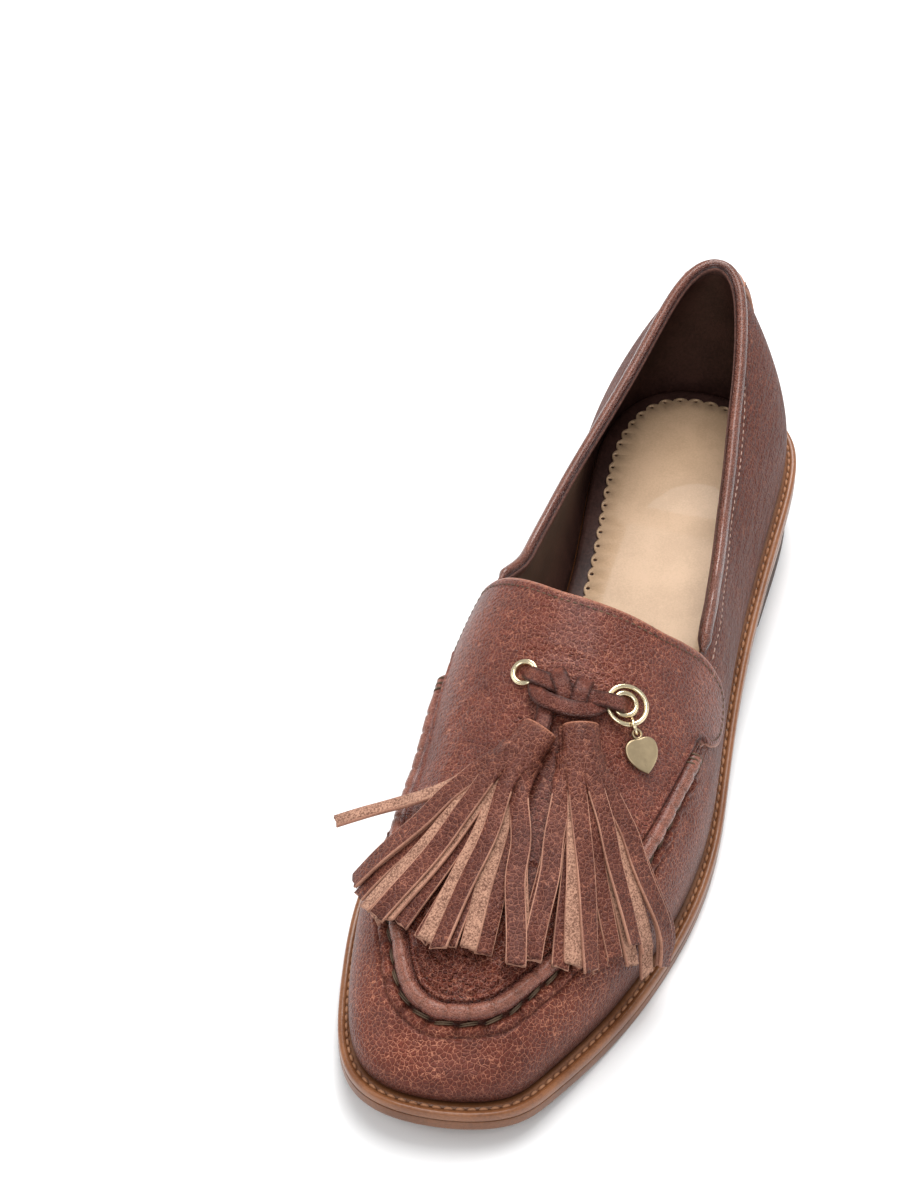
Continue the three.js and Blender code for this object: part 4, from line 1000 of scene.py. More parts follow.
def makeRoll(look):
    turn, t = seamLine(look["stations"], shoe["seamEnd"])
    line = lastFrame(turn, t)
    path, out = line["point"], line["out"]
    run = lengthsAlong(path)
    places = np.linspace(0, run[-1], look["stations"])
    path, out = evenly(path, out, places)
    way = unit(np.gradient(path, axis=0))
    across = unit(np.cross(out, way))
    seeded = np.random.default_rng(12)
    jitter = curveThrough(np.linspace(0, run[-1], 40), seeded.uniform(-0.8, 0.8, 40))
    swell = curveThrough(np.linspace(0, run[-1], 60), seeded.uniform(-0.06, 0.06, 60))
    phase = np.cos(math.pi * (places + jitter(places)) / pinchPitch) ** 2
    size = 1 - look["pinch"] * phase ** 12 + swell(places)
    ends = np.sqrt(np.clip(np.minimum(places, run[-1] - places) / 2.2, 0.06, 1))
    angles = np.radians([-14, 2, 18, 36, 54, 72, 90, 108, 126, 144, 162, 178, 194])
    profile = [(-0.5 * math.cos(a), 0.08 + 0.92 * max(0, math.sin(a)) if a > 0 else 0.02) for a in angles]
    profile += [(0.585, 0.3), (0.66, 0.36), (0.76, 0.33), (0.83, 0.2), (0.84, 0.08)]
    profile += [(0.3, -0.02), (-0.3, -0.02)]
    rings = []
    for a, r in profile:
        inner = a > 0.52
        swollen = 1 + 0.1 * (size - 1) if inner else mix(size, 1, 0.6)
        wide = a * shoe["seamWidth"] * swollen * mix(ends, 1, 0.35)
        tall = shoe["gap"] + r * shoe["seamRise"] * look["proud"] * size * ends + inner * 0.3
        rings.append(path + across * wide[:, None] + out * tall[:, None])
    # painted shade at the roll's foot, on its lower flank and in its pinches; painted highlight along its crown
    shade = np.array([0.9 if r < 0.12 else (0.55 if r < 0.32 and a < 0.55 else 0) for a, r in profile])
    light = np.array([0.3 if 0.7 < r else 0 for a, r in profile])
    shape = Shape()
    pinched = (phase ** 16)[:, None] * 0.4
    shape.tube(np.stack(rings, 1), "roll", values={"shade": np.clip(shade + pinched, 0, 1), "light": light})
    for beside, rise in ((2.55, 0.35), (3.05, 0.12)):
        groove = path - across * beside + out * rise
        addStitches(shape, groove, out, pinchPitch, 4.6, look["thread"], "darkThread", 0.1, 0.3, slant=0.5)
    for start in (2.4, 4.0, 5.6, run[-1] - 2.4, run[-1] - 4.0, run[-1] - 5.6):
        k = int(np.searchsorted(places, start))
        bend = np.radians(np.linspace(-8, 188, 15))
        over = np.stack([
            path[k] - across[k] * math.cos(a) * shoe["seamWidth"] * 0.56
            + out[k] * (shoe["gap"] + 0.15 + shoe["seamRise"] * 0.98 * max(-0.1, math.sin(a)))
            + way[k] * 0.5 * math.cos(a) for a in bend
        ])
        along = unit(np.gradient(over, axis=0))
        up = unit(np.cross(along, way[k]))
        rings = [over + 0.32 * (math.cos(a) * way[k] + math.sin(a) * up) for a in np.arange(6) * math.pi / 3]
        shape.tube(np.stack(rings, 1), "darkThread")
    return shape.made("seam_roll", replaces=["moc_seam"], slot="upper_leather")


makeRoll(rollLook)

# Collar binding: an outer roll, a groove and the facing's edge inside it
bindingLook = {"stations": 300, "from": {"medial": 0.538, "lateral": 0.529}}


def makeBinding(look):
    start = turnOf(look["from"]["lateral"])
    stop = 2 * math.pi - turnOf(look["from"]["medial"])
    key = np.linspace(start, stop, look["stations"])
    turn = np.where(key > math.pi, key - 2 * math.pi, key)
    line = lastFrame(turn, toplineRise(turn))
    centre = line["point"] - line["out"] * shoe["upperWall"] / 2
    centre = centre + line["up"] * (shoe["bindingRadius"] + shoe["gap"])
    profile = [
        (1.3, -2.3), (1.85, -1.6), (2.12, -0.7), (2.05, 0.25), (1.65, 0.95), (0.95, 1.35), (0.15, 1.3),
        (-0.5, 0.9), (-0.82, 0.35), (-0.98, 0.5), (-1.2, 0.5), (-1.42, 0.32), (-1.55, 0.0), (-1.52, -0.6),
        (-1.2, -1.4), (-1.0, -4.4), (-0.75, -4.5), (-0.7, -1.5), (0.9, -1.3),
    ]
    names = ["binding"] * 8 + ["facing"] * 9 + ["binding"] * 2
    rings = np.stack([centre + line["out"] * a + line["up"] * b for a, b in profile], 1)
    ends = np.minimum(np.arange(len(key)), len(key) - 1 - np.arange(len(key)))
    pull = np.clip(ends / 3, 0.25, 1)[:, None, None] ** 0.6
    rings = centre[:, None] + (rings - centre[:, None]) * pull
    # painted shade in the groove and under the roll, and a painted highlight along the roll's crown
    shade = np.array([0.8, 0.35, 0.05, 0, 0, 0, 0.1, 0.5, 1, 0.6, 0.1, 0, 0, 0.1, 0.1, 0.1, 0.2, 0.3, 0.4])
    light = np.array([0, 0, 0, 0.1, 0.25, 0.3, 0.1, 0, 0, 0, 0, 0, 0, 0, 0, 0, 0, 0, 0])
    shape = Shape()
    shape.tube(rings, "binding", values={"shade": shade, "light": light}, skinOf=lambda i, j: names[j])
    return shape.made("collar_binding", replaces=["collar_binding"], slot="binding_leather")


makeBinding(bindingLook)

# Back tab: a strip over the back seam, stitched round its edge
tabLook = {"columns": 30, "rows": 44, "foot": 0.30, "head": 0.97, "narrow": 0.7, "stitchInset": 2.0}


def tabPoint(f, g):
    rise = toplineRise(np.array(math.pi))
    t = rise * mix(tabLook["foot"], tabLook["head"], g)
    across = (1 - 2 * f) * shoe["tabWidth"] / 2 * mix(1, tabLook["narrow"], g)
    step = 0.01
    width = np.linalg.norm(lastPoint(math.pi - step, t) - lastPoint(math.pi, t), axis=-1) / step
    return math.pi - across / width, t


def makeTab(look):
    f, g = np.meshgrid(np.linspace(0, 1, look["columns"]), np.linspace(0, 1, look["rows"]), indexing="ij")
    bow = 1.6 * (1 - (2 * f - 1) ** 2) / 40
    turn, t = tabPoint(f, g * (1 + bow) - bow)
    points = lastPoint(turn, t)
    normals = gridNormals(points, lastFrame(turn, t)["out"])
    edge = np.minimum(np.minimum(f, 1 - f) * shoe["tabWidth"] * mix(1, look["narrow"], g), g * 40)
    high = shoe["coverGap"] + shoe["tabThick"] - 0.4 * (1 - smooth(0, 0.8, edge))
    high -= 0.14 * hill(edge, look["stitchInset"], 0.45)
    shape = Shape()
    shade, light = 0.3 * hill(edge, look["stitchInset"], 0.4), 0.5 * (1 - smooth(0.1, 0.7, edge))
    values = {"shade": shade, "light": light, "side": 0.8}
    addShell(shape, points, normals, high, -0.1, False, ("upper", "edge", "upper"), values)
    inset = look["stitchInset"] / shoe["tabWidth"]
    side = np.linspace(0.98, inset, 40)
    foot = np.linspace(inset, 1 - inset, 40)
    fs = np.concatenate([np.full(40, inset * 1.15), foot, np.full(40, 1 - inset * 1.15)])
    gs = np.concatenate([side, np.full(40, inset * 0.65), side[::-1]])
    turn, t = tabPoint(fs, gs)
    line = lastFrame(turn, t)
    rows = line["point"] + line["out"] * (shoe["coverGap"] + shoe["tabThick"] - 0.1)
    addStitches(shape, rows, line["out"], 2.1, 1.6, 0.5, "quarterThread", 0.02, 0.12)
    return shape.made("back_tab", replaces=["back_tab"], slot="upper_leather")


makeTab(tabLook)


# Thread rows of the quarters, which lie on the upper
def makeQuarterRows():
    shape = Shape()
    for side in sides:
        line = quarterLine(side, 1.1)
        rows = line["point"] + line["out"] * (upperLook["panelStep"] - 0.24)
        addStitches(shape, rows, line["out"], 2.2, 1.6, 0.42, "quarterThread", 0.0, 0.12)
    return shape.made("quarter_stitches")


makeQuarterRows()

# Sole: outsole, then the welt with a stitched groove round its top
soleLook = {"stations": 480, "groove": 2.25, "grooveDepth": 0.5, "stitchPitch": 2.9, "stitchLong": 2.15}


def outlineTurnsEven(count):
    turn = np.linspace(-math.pi, math.pi, 4001)
    run = lengthsAlong(outlineAt(turn)[0])
    return np.interp(np.linspace(0, run[-1], count, endpoint=False), run, turn)


def overSole(turn, inset, height):
    flat, out = outlineAt(turn, inset)
    z = undersideAt(flat[..., 1]) + height
    return np.concatenate([flat, z[..., None]], -1)


def soleRings(turn, profile):
    return np.stack([overSole(turn, inset, height) for inset, height in profile], 1)


# A lid or floor over the sole between the two sides of a ring
def addCap(shape, inset, height, skin, columns=120, rows=12):
    turn = np.linspace(0, math.pi, columns + 1)
    lateral, _ = outlineAt(turn, inset)
    medial, _ = outlineAt(-turn, inset)
    f = np.linspace(0, 1, rows + 1)
    flat = lateral[:, None] * (1 - f)[None, :, None] + medial[:, None] * f[None, :, None]
    z = undersideAt(flat[..., 1]) + height
    shape.grid(np.concatenate([flat, z[..., None]], -1), skin)


def makeSole(look):
    turn = np.linspace(-math.pi, math.pi, look["stations"], endpoint=False)
    thick = shoe["outsoleThick"]
    shape = Shape()
    profile = [
        (1.6, 0), (0.9, 0), (0.45, 0.12), (0.16, 0.4), (0.05, 0.8), (0, 1.4), (0, 2.6), (0.02, 3.3),
        (0.08, 3.5), (0.3, thick), (2.4, thick),
    ]
    shade = np.array([0.1, 0.1, 0, 0, 0, 0, 0, 0, 0.2, 0.5, 0.7])
    shape.grid(soleRings(turn, profile), "soleSide", closedI=True, values={"shade": shade})
    columns = look["stations"] // 2
    addCap(shape, 1.6, 0, "tread", columns)
    addCap(shape, 2.4, thick, "soleSide", columns)
    outsole = shape.made("outsole", replaces=["outsole"], slot="sole_edge", weld=1e-5)
    shape = Shape()
    top = featherStack - shoe["gap"]
    low = thick + 0.12
    g = look["groove"]
    profile = [
        (5.4, low), (0.3, low), (0.1, low + 0.06), (0.02, low + 0.3), (-0.02, low + 1.1), (0.02, top - 0.7),
        (0.2, top - 0.28), (0.5, top - 0.05), (0.95, top + 0.04), (g - 0.75, top), (g - 0.42, top - 0.18),
        (g, top - look["grooveDepth"]), (g + 0.42, top - 0.18), (g + 0.7, top), (3.4, top + 0.1),
        (3.7, top + 0.2), (5.4, top + 0.22),
    ]
    shade = np.array([0.7, 0.5, 0.2, 0, 0, 0, 0, 0, 0, 0.1, 0.5, 0.8, 0.5, 0.2, 0.5, 0.8, 0.9])
    shape.tube(soleRings(turn, profile), "welt", loop=True, values={"shade": shade})
    fine = outlineTurnsEven(1600)
    line = overSole(fine, g, top - look["grooveDepth"] + 0.3)
    outs = np.zeros(line.shape)
    outs[:, 2] = 1
    addStitches(shape, line, outs, look["stitchPitch"], look["stitchLong"], 0.85, "thread", 0.05, 0.22)
    return outsole, shape.made("welt", replaces=["welt"], slot="sole_edge", weld=1e-5)


makeSole(soleLook)

# Heel: leather stack and top lift, cut straight at the breast
heelLook = {"stations": 150, "breastColumns": 24}
heelInset = shoe["edgeRound"] + shoe["gap"]


def heelLoop(inset, stations, columns):
    edge = turnOf(shoe["breastAt"])
    turn = np.linspace(edge, 2 * math.pi - edge, stations)
    turn = np.where(turn > math.pi, turn - 2 * math.pi, turn)
    flat, _ = outlineAt(turn, inset)
    across = np.linspace(flat[-1], flat[0], columns + 1)[1:-1]
    return np.vstack([flat, across])


# A layer of the heel from rows of inset, share of the way from the sole down to its level, and nudge in mm
def makeLayer(look, name, rows, level, skin):
    breast = shoe["soleLength"] * shoe["breastAt"]

    def heightAt(y, share, nudge):
        return mix(undersideAt(y) - 0.8, level, share) + nudge

    loops = []
    for inset, share, nudge in rows:
        flat = heelLoop(inset, look["stations"], look["breastColumns"])
        flat[:, 1] = np.maximum(flat[:, 1], breast + 0.5 * (inset - heelInset))
        loops.append(np.column_stack([flat, heightAt(flat[:, 1], share, nudge)]))
    shape = Shape()
    shape.grid(np.stack(loops, 1), skin, closedI=True)
    count = len(loops[0])
    for k in (0, -1):
        middle = loops[k].mean(0)
        inner = loops[k] + (middle - loops[k]) * 0.5
        for spots in (inner, middle[None]):
            spots[:, 2] = heightAt(spots[:, 1], *rows[k][1:])
        shape.grid(np.stack([loops[k], inner], 1), skin, closedI=True)
        shape.add(np.vstack([inner, middle]), [(n, (n + 1) % count, count) for n in range(count)], skin)
    return shape.made(name, replaces=[name], slot=name, weld=1e-5)


def makeHeel(look):
    lift = shoe["liftThick"]
    end = heelInset + shoe["heelTaper"]
    rows = [(heelInset + 0.4, 0, 0.68), (heelInset + 0.08, 0, 0.5), (heelInset, 0, 0)]
    for share in (0.2, 0.4, 0.6, 0.8):
        inset = heelInset + shoe["heelTaper"] * share
        rows += [(inset, share, 0.14), (inset + 0.06, share, 0), (inset, share, -0.14)]
    rows += [(end, 1, 0), (end + 0.1, 1, -0.45), (end + 0.5, 1, -0.75)]
    makeLayer(look, "heel_stack", rows, lift + shoe["gap"] + 0.6, "heel")
    rows = [
        (end + 0.5, 1, 0), (end + 0.12, 1, -0.12), (end, 1, -0.5), (end + 0.05, 1, 0.9 - lift),
        (end + 0.2, 1, 0.35 - lift), (end + 0.6, 1, -lift),
    ]
    makeLayer(look, "top_lift", rows, lift, "lift")


makeHeel(heelLook)

# Insole board under the sock, with the lining turned over it
insoleInset = shoe["weltShow"] + shoe["upperWall"] + 2 * shoe["gap"]
sockLook = {"scallop": 4.7, "reach": 1.25, "holeInset": 0.55, "holeRadius": 0.62, "spacing": 4.5}


def makeInsole():
    turn = np.linspace(-math.pi, math.pi, 240, endpoint=False)
    low = shoe["outsoleThick"] + shoe["gap"]
    profile = [
        (insoleInset + 1, low), (insoleInset, low), (insoleInset - 0.4, insoleTop - 0.8),
        (insoleInset, insoleTop - 0.2), (insoleInset + 1, insoleTop),
    ]
    shape = Shape()
    shape.grid(soleRings(turn, profile), "lining", closedI=True)
    addCap(shape, insoleInset + 1, insoleTop, "lining")
    addCap(shape, insoleInset + 1, low, "lining")
    return shape.made("insole", replaces=["insole"], slot="lining", weld=1e-5)


makeInsole()


# Sock: a thin sheet with a pinked, punched edge
def makeSock(look):
    inset = insoleInset + shoe["sockMargin"]
    turn = np.linspace(-math.pi, math.pi, 3001)
    flat, out = outlineAt(turn, inset)
    run = lengthsAlong(flat)
    count = int(round(run[-1] / look["scallop"]))
    steps = 9
    places = np.arange(count * steps) * run[-1] / (count * steps)
    lobe = np.abs(np.sin(math.pi * (np.arange(count * steps) % steps) / steps)) ** 0.62
    edge = np.stack([np.interp(places, run, flat[:, k]) for k in (0, 1)], -1)
    ways = unit(np.stack([np.interp(places, run, out[:, k]) for k in (0, 1)], -1))
    border = edge + ways * (look["reach"] * (lobe - 0.55))[:, None]
    middles = np.arange(count) * steps + steps // 2
    holes = []
    for k in middles:
        centre = (edge[k] + edge[k + 1]) / 2 - ways[k] * look["holeInset"]
        spin = np.arange(8) * math.pi / 4
        holes.append([centre + look["holeRadius"] * np.array([math.cos(a), math.sin(a)]) for a in spin])
    low, high = border.min(0), border.max(0)
    xs, ys = np.arange(low[0], high[0], look["spacing"]), np.arange(low[1], high[1], look["spacing"])
    inner = np.array([(x, y) for x in xs for y in ys])
    shrunk, _ = outlineAt(turn[::12], inset + 3.5)

    def inside(points, ring):
        a, b = ring, np.roll(ring, -1, 0)
        hit = np.zeros(len(points), int)
        for (ax, ay), (bx, by) in zip(a, b):
            if ay == by:
                continue
            cross = (ay > points[:, 1]) != (by > points[:, 1])
            hit += cross & (points[:, 0] < (bx - ax) * (points[:, 1] - ay) / (by - ay) + ax)
        return hit % 2 == 1

    inner = inner[inside(inner, shrunk)]
    points = [Vector(p) for p in border]
    edges = [(k, (k + 1) % len(border)) for k in range(len(border))]
    for hole in holes:
        first = len(points)
        points += [Vector(p) for p in hole]
        edges += [(first + k, first + (k + 1) % 8) for k in range(8)]
    points += [Vector(p) for p in inner]
    flat, _, faces, _, _, _ = delaunay_2d_cdt(points, edges, [], 0, 1e-5, False)
    flat = np.array([tuple(p) for p in flat])
    faces = np.array([f for f in faces if len(f) == 3])
    centres = flat[faces].mean(1)
    keep = inside(centres, border)
    middle = np.array([np.mean(h, 0) for h in holes])
    near = ((centres[:, None] - middle[None]) ** 2).sum(-1).min(1)
    faces = faces[keep & (near > (look["holeRadius"] * 0.85) ** 2)]
    top = insoleTop + shoe["gap"] + shoe["sockThick"] - 0.2
    foot = insoleTop + 0.05
    shape = Shape()
    z = undersideAt(flat[:, 1])
    upper = np.column_stack([flat, z + top])
    lower = np.column_stack([flat, z + foot])
    shape.add(upper, faces, "sock")
    used = {}
    for face in faces.tolist():
        for k in range(3):
            a, b = face[k], face[(k + 1) % 3]
            used[(a, b)] = (b, a) not in used
            if (b, a) in used:
                used[(b, a)] = False
    rim = [(a, b) for (a, b), single in used.items() if single]
    count = len(flat)
    shape.add(np.vstack([upper, lower]), [(b, a, count + a, count + b) for a, b in rim], "sock")
    shape.add(lower, faces[:, ::-1], "sock")
    return shape.made("sock", replaces=["sock"], slot="sock", weld=1e-6)


makeSock(sockLook)

# Metal: eyelets, the jump ring, its link and the blank heart
metalLook = {
    "eyeletRadius": 3.7, "eyeletBore": 2.3, "eyeletRise": 1.1, "ringRadius": 5.3, "ringWire": 0.65,
    "linkRadius": 2, "linkWire": 0.4, "heartWidth": 9, "heartLength": 10.5, "heartThick": 1,
    "medial": (0.404, 0.898), "lateral": (0.405, 0.731), "ringShift": 0.45, "charmTip": (24.2, 95.4),
}


def eyeletFrame(side):
    at, rise = metalLook[side]
    return lastFrame(sides[side] * turnOf(at), np.array(rise))


def charmFrame():
    m = metalLook
    ringLow = plugTop + shoe["gap"] + m["ringWire"]
    ringHigh = ringLow + 2 * m["linkWire"] + shoe["gap"]
    eyelet = eyeletFrame("lateral")
    aim, _ = overFace(*m["charmTip"], plugTop + 2 * shoe["gap"] + m["heartThick"] / 2)
    flat = aim - eyelet["point"]
    flat = unit(flat - eyelet["out"] * flat.dot(eyelet["out"]))
    out = unit(eyelet["out"] - flat * (ringHigh - ringLow) / (2 * m["ringRadius"]))
    axis = unit(np.cross(eyelet["out"], flat))
    slope = unit(np.cross(axis, out))
    centre = eyelet["point"] + eyelet["out"] * (ringLow + ringHigh) / 2 + flat * m["ringShift"]
    hold = centre + slope * m["ringRadius"]
    hang = aim - hold
    hang = unit(hang - axis * hang.dot(axis))
    face = -unit(np.cross(axis, hang))
    return {
        "centre": centre, "out": out, "slope": slope, "hold": hold, "hang": hang, "axis": axis, "face": face,
    }


def addRing(shape, centre, across, normal, radius, wire, segments, rise=None, count=14):
    other = np.cross(normal, across)
    angles = np.arange(segments) * 2 * math.pi / segments
    spin = np.arange(count) * 2 * math.pi / count
    tall = wire if rise is None else rise
    reach = radius + wire * np.cos(spin)
    spokes = np.cos(angles)[:, None, None] * across + np.sin(angles)[:, None, None] * other
    rings = centre + spokes * reach[None, :, None] + (tall * np.sin(spin))[None, :, None] * normal
    shape.tube(rings, "gold", loop=True)


def makeMetal(m):
    shape = Shape()
    for side in sides:
        face = eyeletFrame(side)
        centre = face["point"] + face["out"] * (plugTop + shoe["gap"] + m["eyeletRise"] / 2)
        mid, half = (m["eyeletRadius"] + m["eyeletBore"]) / 2, (m["eyeletRadius"] - m["eyeletBore"]) / 2
        addRing(shape, centre, face["along"], face["out"], mid, half, 64, m["eyeletRise"] / 2)
        # the barrel goes down through the panel
        spin = np.arange(48) * 2 * math.pi / 48
        other = np.cross(face["out"], face["along"])
        circle = np.cos(spin)[:, None] * face["along"] + np.sin(spin)[:, None] * other
        rows = [(0.12, 0.0), (0, -0.6), (0, -2.2), (0.35, -2.2), (0.5, 0.0)]
        rings = np.stack([centre + circle * (m["eyeletBore"] + r) + face["out"] * h for r, h in rows], 1)
        shape.tube(rings, "gold", loop=True)
    shape.made("eyelets", replaces=["eyelet_medial", "eyelet_lateral"], slot="pale_gold")
    charm = charmFrame()
    shape = Shape()
    addRing(shape, charm["centre"], charm["slope"], charm["out"], m["ringRadius"], m["ringWire"], 88)
    shape.made("jump_ring", replaces=["jump_ring"], slot="pale_gold")
    hold = m["linkRadius"] - m["linkWire"] - m["ringWire"] - shoe["gap"]
    lean = 0.5
    normal = unit(charm["axis"] * math.cos(lean) + charm["face"] * math.sin(lean))
    across = unit(np.cross(np.cross(normal, charm["hang"]), normal))
    shape = Shape()
    centre = charm["hold"] + charm["hang"] * hold
    addRing(shape, centre, across, normal, m["linkRadius"], m["linkWire"], 56, count=12)
    shape.made("charm_link", body="charm", replaces=["charm_link"], slot="pale_gold")
    makeHeart(m, charm, charm["hold"] + charm["hang"] * (hold + m["linkRadius"]))


def bezier(points, count):
    p = np.array(points, float)
    s = np.linspace(0, 1, count, endpoint=False)[:, None]
    return (1 - s) ** 3 * p[0] + 3 * (1 - s) ** 2 * s * p[1] + 3 * (1 - s) * s ** 2 * p[2] + s ** 3 * p[3]


def makeHeart(m, f, start):
    wide, long, half = m["heartWidth"] / 2, m["heartLength"], m["heartThick"] / 2
    upper = np.vstack([
        bezier([(0.12, 0), (0.08, 0.4), (0.1, 1), (0.4, 1)], 26),
        bezier([(0.4, 1), (0.68, 1), (0.9, 0.4), (1, 0)], 26),
    ]) * [long, wide]
    loop = np.vstack([upper, [[long, 0]], upper[:0:-1] * [1, -1]])
    middle = np.array([0.5 * long, 0])
    side = np.cross(f["face"], f["hang"])

    def spot(flat, height):
        dome = 0.16 * (1 - np.clip(np.linalg.norm((flat - middle) / [0.5 * long, wide], axis=-1), 0, 1) ** 2)
        return start + flat[..., :1] * f["hang"] + flat[..., 1:] * side + (height + dome)[..., None] * f["face"]

    way = unit(np.roll(loop, -1, 0) - np.roll(loop, 1, 0))
    inward = np.column_stack([way[:, 1], -way[:, 0]])
    inward *= np.where(((middle - loop) * inward).sum(-1, keepdims=True) < 0, -1, 1)
    rows = [
        (0.98, -1), (0.55, -1), (0.25, -0.94), (0.06, -0.7), (0, -0.3), (0, 0.3), (0.06, 0.7), (0.25, 0.94),
        (0.5, 1), (0.85, 0.93), (1.1, 0.93),
    ]
    shape = Shape()
    rings = [spot(loop + inward * inset, half * height) for inset, height in rows]
    shape.grid(np.stack(rings, 1), "satin", closedI=True)
    for inset, height in (rows[0], rows[-1]):
        flats = [middle + (loop + inward * inset - middle) * s for s in (1, 0.66, 0.33, 0.02)]
        shape.grid(np.stack([spot(flat, half * height) for flat in flats], 1), "satin", closedI=True)
    spin = np.arange(40) * 2 * math.pi / 40
    ring = np.column_stack([np.cos(spin), np.sin(spin)])
    rows = [
        (0.85, -0.6), (0.95, -0.92), (1.15, -1), (1.35, -0.85), (1.45, -0.4), (1.45, 0.4), (1.35, 0.85),
        (1.15, 1), (0.95, 0.92), (0.85, 0.6),
    ]
    spokes = ring[:, :1] * f["hang"] + ring[:, 1:] * side
    rings = [start + spokes * r + half * h * f["face"] for r, h in rows]
    shape.tube(np.stack(rings, 1), "satin", loop=True)
    return shape.made("heart_charm", body="charm", replaces=["heart_charm"], slot="pale_gold")


makeMetal(metalLook)

# Lace: a flat strap between the eyelets, with turns wound on it
laceLook = {"width": 4.6, "barWidth": 4.232, "thick": 1.4, "low": plugTop + 0.3 + 0.85}
laceRows = {
    "bar": [
        (-9.5, 108.6, -1.4), (-8.2, 107.6, 0.0), (-6.1, 106.6, 0.9), (-4.5, 106.2, 1.2), (-1.5, 105.5, 1.4),
        (2.9, 104.9, 1.4), (7.1, 105.0, 1.4), (10.4, 105.8, 1.2), (12.8, 106.4, 0.9), (14.8, 107.0, 0.1),
        (16.2, 107.4, -1.4),
    ],
    "turn": [
        (-2.4, 109.3, -0.2), (-1.7, 108.4, 1.2), (-0.8, 107.2, 2.0), (0.4, 105.4, 2.3), (1.5, 103.4, 2.0),
        (2.1, 101.8, 0.8),
    ],
    "wrap": [
        (5.1, 109.0, -0.2), (5.0, 108.0, 1.2), (4.8, 106.7, 2.0), (4.7, 104.8, 2.3), (4.7, 103.0, 2.0),
        (4.6, 101.6, 0.8),
    ],
    "band": [
        (-6.0, 105.4, -0.3), (-5.4, 103.4, 0.7), (-3.6, 101.7, 1.4), (-0.6, 100.8, 2.0), (3.0, 100.4, 2.4),
        (6.0, 101.0, 2.2), (8.4, 102.6, 1.4), (10.2, 105.0, 0.4),
    ],
    "stem": [(-2.4, 100.2, 0.9), (-2.1, 98.6, 0.7), (-1.9, 96.4, 0.8), (-2.0, 94.0, 1.0)],
}


# A smooth line at even steps through points, with the normals carried along
def evened(points, outs, count):
    run = lengthsAlong(points)
    places = np.linspace(0, run[-1], count)
    return curveThrough(run, points)(places), unit(curveThrough(run, outs)(places))


def laceLine(rows, count):
    rows = np.array(rows, float)
    return evened(*overFace(rows[:, 0], rows[:, 1], laceLook["low"] + rows[:, 2] * laceLook["thick"]), count)


# A flat strap of leather on a line: grain outwards, flesh inwards, cut edges at the sides
def addStrap(shape, line, outs, width, thick, cup, skinNames=("tassel", "edge", "flesh"), twist=0.0, ends=0.0,
             rag=0.0, plainTo=0, edgeShade=0.0):
    way = unit(np.gradient(line, axis=0))
    across = unit(np.cross(outs, way))
    out = unit(np.cross(way, across))
    twist = np.broadcast_to(twist, len(line))[:, None]
    across, out = across * np.cos(twist) + out * np.sin(twist), out * np.cos(twist) - across * np.sin(twist)
    width = np.broadcast_to(width, len(line))[:, None]
    thick = np.broadcast_to(thick, len(line))[:, None]
    cup = np.broadcast_to(cup, len(line))[:, None]
    spots = [
        (-0.44, 0.5), (-0.25, 0.5), (0, 0.5), (0.25, 0.5), (0.44, 0.5), (0.49, 0.36), (0.5, 0), (0.49, -0.36),
        (0.44, -0.5), (0.22, -0.5), (-0.22, -0.5), (-0.44, -0.5), (-0.49, -0.36), (-0.5, 0), (-0.49, 0.36),
    ]
    names = [skinNames[0]] * 4 + [skinNames[1]] * 4 + [skinNames[2]] * 3 + [skinNames[1]] * 4
    rag = np.broadcast_to(rag, len(spots))
    rings = []
    for (a, b), torn in zip(spots, rag):
        slant = np.zeros((len(line), 1))
        slant[-1] = ends * a + torn
        rings.append(line + across * a * width + out * (b * thick + cup * (4 * a * a - 0.5)) + way * slant)
    shade = np.array([edgeShade if abs(a) > 0.4 else 0 for a, _ in spots])
    shape.tube(np.stack(rings, 1), skinNames[1], values={"shade": shade},
               skinOf=lambda i, j: names[j] if i >= plainTo else skinNames[0])


def makeLace(look):
    shape = Shape()
    bar, outs = laceLine(laceRows["bar"], 64)
    skinNames = ("knot", "knot", "flesh")
    addStrap(shape, bar, outs, look["barWidth"], look["thick"], -0.1, skinNames, edgeShade=0.75)
    cord = shape.made("lace", replaces=["lace_knot"], slot="tassel_leather")
    shape = Shape()
    for name in ("turn", "wrap", "band", "stem"):
        line, outs = laceLine(laceRows[name], 40)
        addStrap(shape, line, outs, look["width"], look["thick"], -0.12, skinNames, edgeShade=0.75)
    knot = shape.made("lace_turns", slot="tassel_leather")
    look["barWidth"] / 1000


makeLace(laceLook)

# Tassels: a strip rolled to a head, cut below into strips that fan over the vamp
tasselLook = {
    "headRadius": 5.7, "headLength": 10, "headFlat": 0.64, "stripWidth": 4.7, "stripThick": 1.0,
    "stripLong": 54.5, "strayWidth": 3.995, "leather": 1.1, "lift": 5.7, "turns": 2.15,
}
tasselRows = {
    "medial": {
        "top": (-2, 93.8), "foot": (-4.8, 85.6), "from": -2.34, "to": -1.3, "seed": 21,
        "counts": (4, 6, 8), "flesh": 1.0,
        "strayOver": [(-9, 85), (-14.5, 79), (-20.3, 74.4), (-24.4, 72.8)],
        "strayPast": [(-33.4, 72, 39.8), (-40.2, 69, 37.8), (-48.6, 66.8, 33.4)],
    },
    "lateral": {
        "top": (6.6, 97.2), "foot": (9.2, 88.7), "from": -1.58, "to": -0.74, "seed": 35,
        "counts": (4, 5, 6), "flesh": 0.5,
    },
}
# the layers of strips, from the top one: place in the head, height over the vamp, share with the flesh side up
tasselLayers = (
    {"reach": 1.0, "level": 2.3, "flesh": 0.0, "wide": 1.05},
    {"reach": 0.62, "level": 1.2, "flesh": 0.6, "wide": 1.0},
    {"reach": 0.25, "level": 0.1, "flesh": 0.35, "wide": 0.95},
)
fringeLift = 2 * shoe["gap"] + shoe["seamRise"] + 1.3


